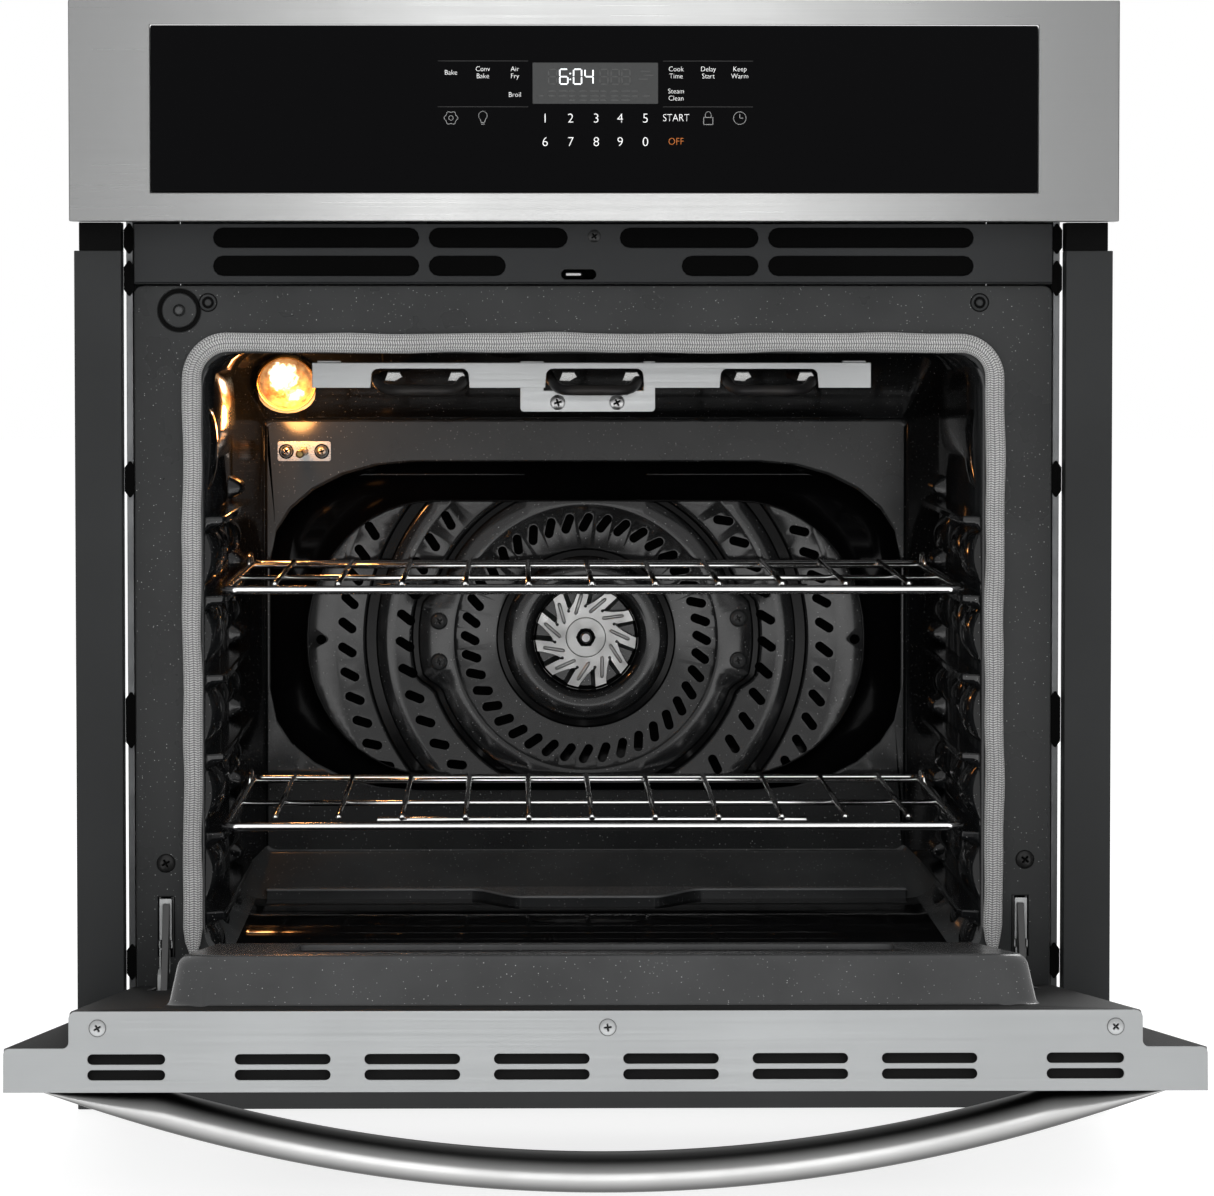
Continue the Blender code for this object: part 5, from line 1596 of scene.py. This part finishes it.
def shoulder(share):
    """Height of the handle's section, as a share, from the top of its crown round to its inner edge."""
    if share < 0.30:
        return 0.955 + 0.045 * math.sin(share / 0.30 * math.pi / 2)
    return 0.26 + 0.74 * math.sqrt(max(0.0, 1 - ((share - 0.30) / 0.735) ** 2))


def handle():
    """A bowed handle: round-shouldered section between two arches that spring from the door's face."""
    root = PANEL_FACE - 0.0003
    half_out, half_in, rise_out, rise_in = 0.3285, 0.257, 0.060, 0.0372
    low, high = 0.5150, 0.5410
    stations = 97
    section = [  # share of the way from the outer arch to the inner one, share of the height
        (1.0, 0.0), (0.52, 0.0), (0.06, 0.0), (0.015, 0.02), (0.0, 0.09), (0.0, 0.5), (0.0, 0.80),
        (0.012, 0.885), (0.035, 0.935),
    ]
    section += [(0.060 + 0.915 * (step / 14), shoulder(step / 14)) for step in range(15)]
    section += [(0.995, 0.24), (1.0, 0.18)]
    bm = bmesh.new()
    layer = bm.loops.layers.uv.new("round_section")
    rings = []
    for i in range(stations):
        x = half_out * math.sin(math.pi / 2 * (2 * i / (stations - 1) - 1)) * 0.9995
        outer = rise_out * (1 - (x / half_out) ** 2)
        inner = rise_in * (1 - (x / half_in) ** 2) if abs(x) < half_in else 0.0
        spots = [(x, root - outer + (outer - inner) * t, low + (high - low) * z) for t, z in section]
        rings.append([bm.verts.new(spot) for spot in spots])
    count = len(section)
    for i, (a, b) in enumerate(zip(rings, rings[1:])):
        for k in range(count):
            n = (k + 1) % count
            face = bm.faces.new((a[k], a[n], b[n], b[k]))
            for loop, (row, station) in zip(face.loops, ((k, i), (n, i), (n, i + 1), (k, i + 1))):
                loop[layer].uv = (station / stations, section[row][0])
    bm.faces.new(rings[0])
    bm.faces.new(rings[-1])
    bmesh.ops.recalc_face_normals(bm, faces=bm.faces[:])
    bow = ("handle_bow", bm, "handle_steel", "door", "brushed_steel", ("door_handle",))
    piece(*bow, angle=32, closed=True)


def hinges():
    for suffix, sign in (("left", -1), ("right", 1)):
        # The hinge arms and receivers take a dark steel tone as painted shade.
        softened("hinge_arm_" + suffix, "arm_steel", 0.0004, slot="bright_steel")
        softened("hinge_receiver_" + suffix, "arm_steel", 0.0004, slot="bright_steel")
        softened("hinge_channel_" + suffix, "galvanised", 0.0004, 2, "door")
        softened("hinge_pin_" + suffix, "zinc_screw", 0.0004, 2, "door", slot="bright_steel")
        outer, inner = 0.2894 * sign, 0.2812 * sign
        bm = bmesh.new()
        dimple = circle((outer + inner) / 2, 0.1180, 0.0011, 16)
        plate = rectangle(min(outer, inner), 0.1098, max(outer, inner), 0.1374)
        add_prism(bm, "y", -0.2892, -0.2879, plate, [dimple])
        soften_edges(piece("hinge_receiver_face_" + suffix, bm, "zinc_plate", slot="bright_steel"), 0.0004)
        bm = bmesh.new()
        left, right = min(outer, inner) + 0.0002, max(outer, inner) - 0.0010
        low, high, wire = 0.0880, 0.1050, 0.0009
        hoop = [
            (left, low), (left, high - 0.0010), (left + 0.0010, high), (right - 0.0010, high), (right, high - 0.0010),
            (right, low), (right - wire, low),
            (right - wire, high - wire - 0.0006), (right - wire - 0.0006, high - wire),
            (left + wire + 0.0006, high - wire), (left + wire, high - wire - 0.0006), (left + wire, low),
        ]
        add_prism(bm, "y", -0.2935, -0.2915, hoop)
        for x in (min(outer, inner) - 0.0003, max(outer, inner) - 0.0004):
            add_prism(bm, "y", -0.2895, -0.2875, rectangle(x, 0.1045, x + 0.0008, 0.1094))
        soften_edges(piece("hinge_hoop_" + suffix, bm, "zinc_plate", slot="bright_steel"), 0.0002)
        bm = bmesh.new()
        block = [(-0.3075, 0.0705), (-0.3075, 0.0885), (-0.3000, 0.0915), (-0.2950, 0.0915), (-0.2950, 0.0705)]
        low_x, high_x = sorted((0.2896 * sign, 0.2855 * sign))
        add_prism(bm, "x", low_x, high_x, block)
        soften_edges(piece("hinge_lock_" + suffix, bm, "zinc_plate", slot="bright_steel"), 0.0004)


def services():
    for node in ("blower_housing", "blower_motor", "junction_box"):
        softened(node, "galvanised", 0.0008)
    softened("conduit_connector", "bright_steel", 0.0008)
    softened("blower_wheel", "black_plastic", 0.0004, 2, "blower")
    bm = bmesh.new()
    for x, z, turn in ((-0.2120, 0.6920, 0.2), (-0.1280, 0.6080, 0.7)):
        add_screw(bm, (x, 0.3250, z), (0, 1, 0), 0.0036, turn=turn)
    piece("junction_box_screws", bm, ["zinc_screw", "black_gap"], slot="bright_steel")


# ---------------------------------------------------------------- studio


CAMERA_PLACE = Vector((-0.049, PANEL_FACE - 3.690, 0.526))
CAMERA_AIM = Vector((0.0570, 3.690, -0.1853))
LENS_MM = 167.2


def camera():
    data = bpy.data.cameras.new("camera")
    data.sensor_width = 36
    data.lens = LENS_MM
    data.clip_start, data.clip_end = 0.1, 60
    obj = bpy.data.objects.new("camera", data)
    bpy.context.collection.objects.link(obj)
    obj.location = CAMERA_PLACE
    obj.rotation_euler = CAMERA_AIM.to_track_quat("-Z", "Y").to_euler()
    bpy.context.scene.camera = obj


def area_light(name, place, target, width, height, power):
    data = bpy.data.lights.new(name, "AREA")
    data.shape, data.size, data.size_y = "RECTANGLE", width, height
    data.energy = power
    obj = bpy.data.objects.new(name, data)
    obj.location = place
    obj.rotation_euler = (Vector(target) - Vector(place)).to_track_quat("-Z", "Y").to_euler()
    bpy.context.collection.objects.link(obj)
    return obj


STRIP_LIT = (
    "control_panel_frame_finished", "door_outer_skin_finished", "handle_bow", "door_top_cap", "broil_bar",
    "broil_bracket",
)


def lit_only(light, receivers):
    """Keeps a studio light to a few pieces."""
    light.light_linking.receiver_collection = bpy.data.collections.new(light.name + "_receivers")
    for name in receivers:
        light.light_linking.receiver_collection.objects.link(bpy.data.objects[name])


def studio():
    world = bpy.data.worlds.new("studio")
    bpy.context.scene.world = world
    world.use_nodes = True
    tree = world.node_tree
    background = tree.nodes["Background"]
    path = tree.nodes.new("ShaderNodeLightPath")
    mix = tree.nodes.new("ShaderNodeMix")
    mix.data_type = "RGBA"
    mix.inputs[6].default_value = (0.50, 0.50, 0.50, 1)
    mix.inputs[7].default_value = (1, 1, 1, 1)
    tree.links.new(path.outputs["Is Camera Ray"], mix.inputs[0])
    tree.links.new(mix.outputs[2], background.inputs["Color"])

    strip = area_light("front_strip", (-0.02, -5.0, 0.9), (-0.02, 0, 0.5), 0.62, 3.2, 21)
    lit_only(strip, STRIP_LIT)
    shaded = (
        area_light("front_soft", (0, -5.0, 1.3), (0, 0, 0.35), 2.4, 2.0, 112),
        area_light("left_key", (-2.4, -3.2, 3.0), (0, 0, 0.35), 1.6, 1.6, 26),
        area_light("right_key", (2.4, -3.2, 3.0), (0, 0, 0.35), 1.6, 1.6, 26),
    )
    for light in shaded:
        light.visible_glossy = False
    area_light("rear", (0.4, 3.4, 2.0), (0, 0, 0.4), 2.4, 1.8, 50)
    sheen = area_light("wire_sheen", (0, -4.6, 1.5), (0, 0, 0.3), 8.0, 5.0, 150)
    lit_only(sheen, ("upper_rack_wires", "lower_rack_wires"))

    bulb = bpy.data.lights.new("oven_light", "POINT")
    bulb.energy, bulb.color, bulb.shadow_soft_size = 0.26, (1.0, 0.42, 0.12), 0.012
    obj = bpy.data.objects.new("oven_light", bulb)
    obj.location = (-0.2150, 0.0960, 0.4500)
    bpy.context.collection.objects.link(obj)

    white = (1, 1, 1, 1)
    floor_look = Look("floor", (0.4, 0.4, 0.4), 0.8, Specular_IOR_Level=0.1)
    floor_look.set("Emission Color", white).set("Emission Strength", 0.80)
    grain = floor_look.noise(floor_look.place(), 3.0, 3.0)
    floor_look.set("Roughness", floor_look.spread(grain, 0.65, 0.75))
    bm = bmesh.new()
    add_prism(bm, "z", -0.02, 0.0, circle(0, 4.0, 16.0, 96))
    mesh = bpy.data.meshes.new("floor")
    bm.to_mesh(mesh)
    bm.free()
    mesh.materials.append(floor_look.material)
    floor = bpy.data.objects.new("floor", mesh)
    bpy.context.collection.objects.link(floor)
    bpy.context.scene.view_settings.view_transform = "Standard"


def dress_remaining():
    """Any CAD node still showing takes its finished material."""
    for obj in NODES.values():
        if obj.hide_render:
            continue
        for holder in obj.material_slots:
            name = holder.material.name.split(".")[0] if holder.material else None
            if name in LOOKS:
                holder.material = LOOKS[name]


control_panel()
vent()
trims()
chassis_shell()
front_frame()
gasket()
cavity_shell()
rack_ledges()
floor_step()
fan_cover()
fan_wheel()
broiler()
lamp()
sensor()
rack("upper", LEDGE_HEIGHTS[4])
rack("lower", LEDGE_HEIGHTS[1])
door_box()
cap()
handle()
hinges()
services()
dress_remaining()
camera()
studio()
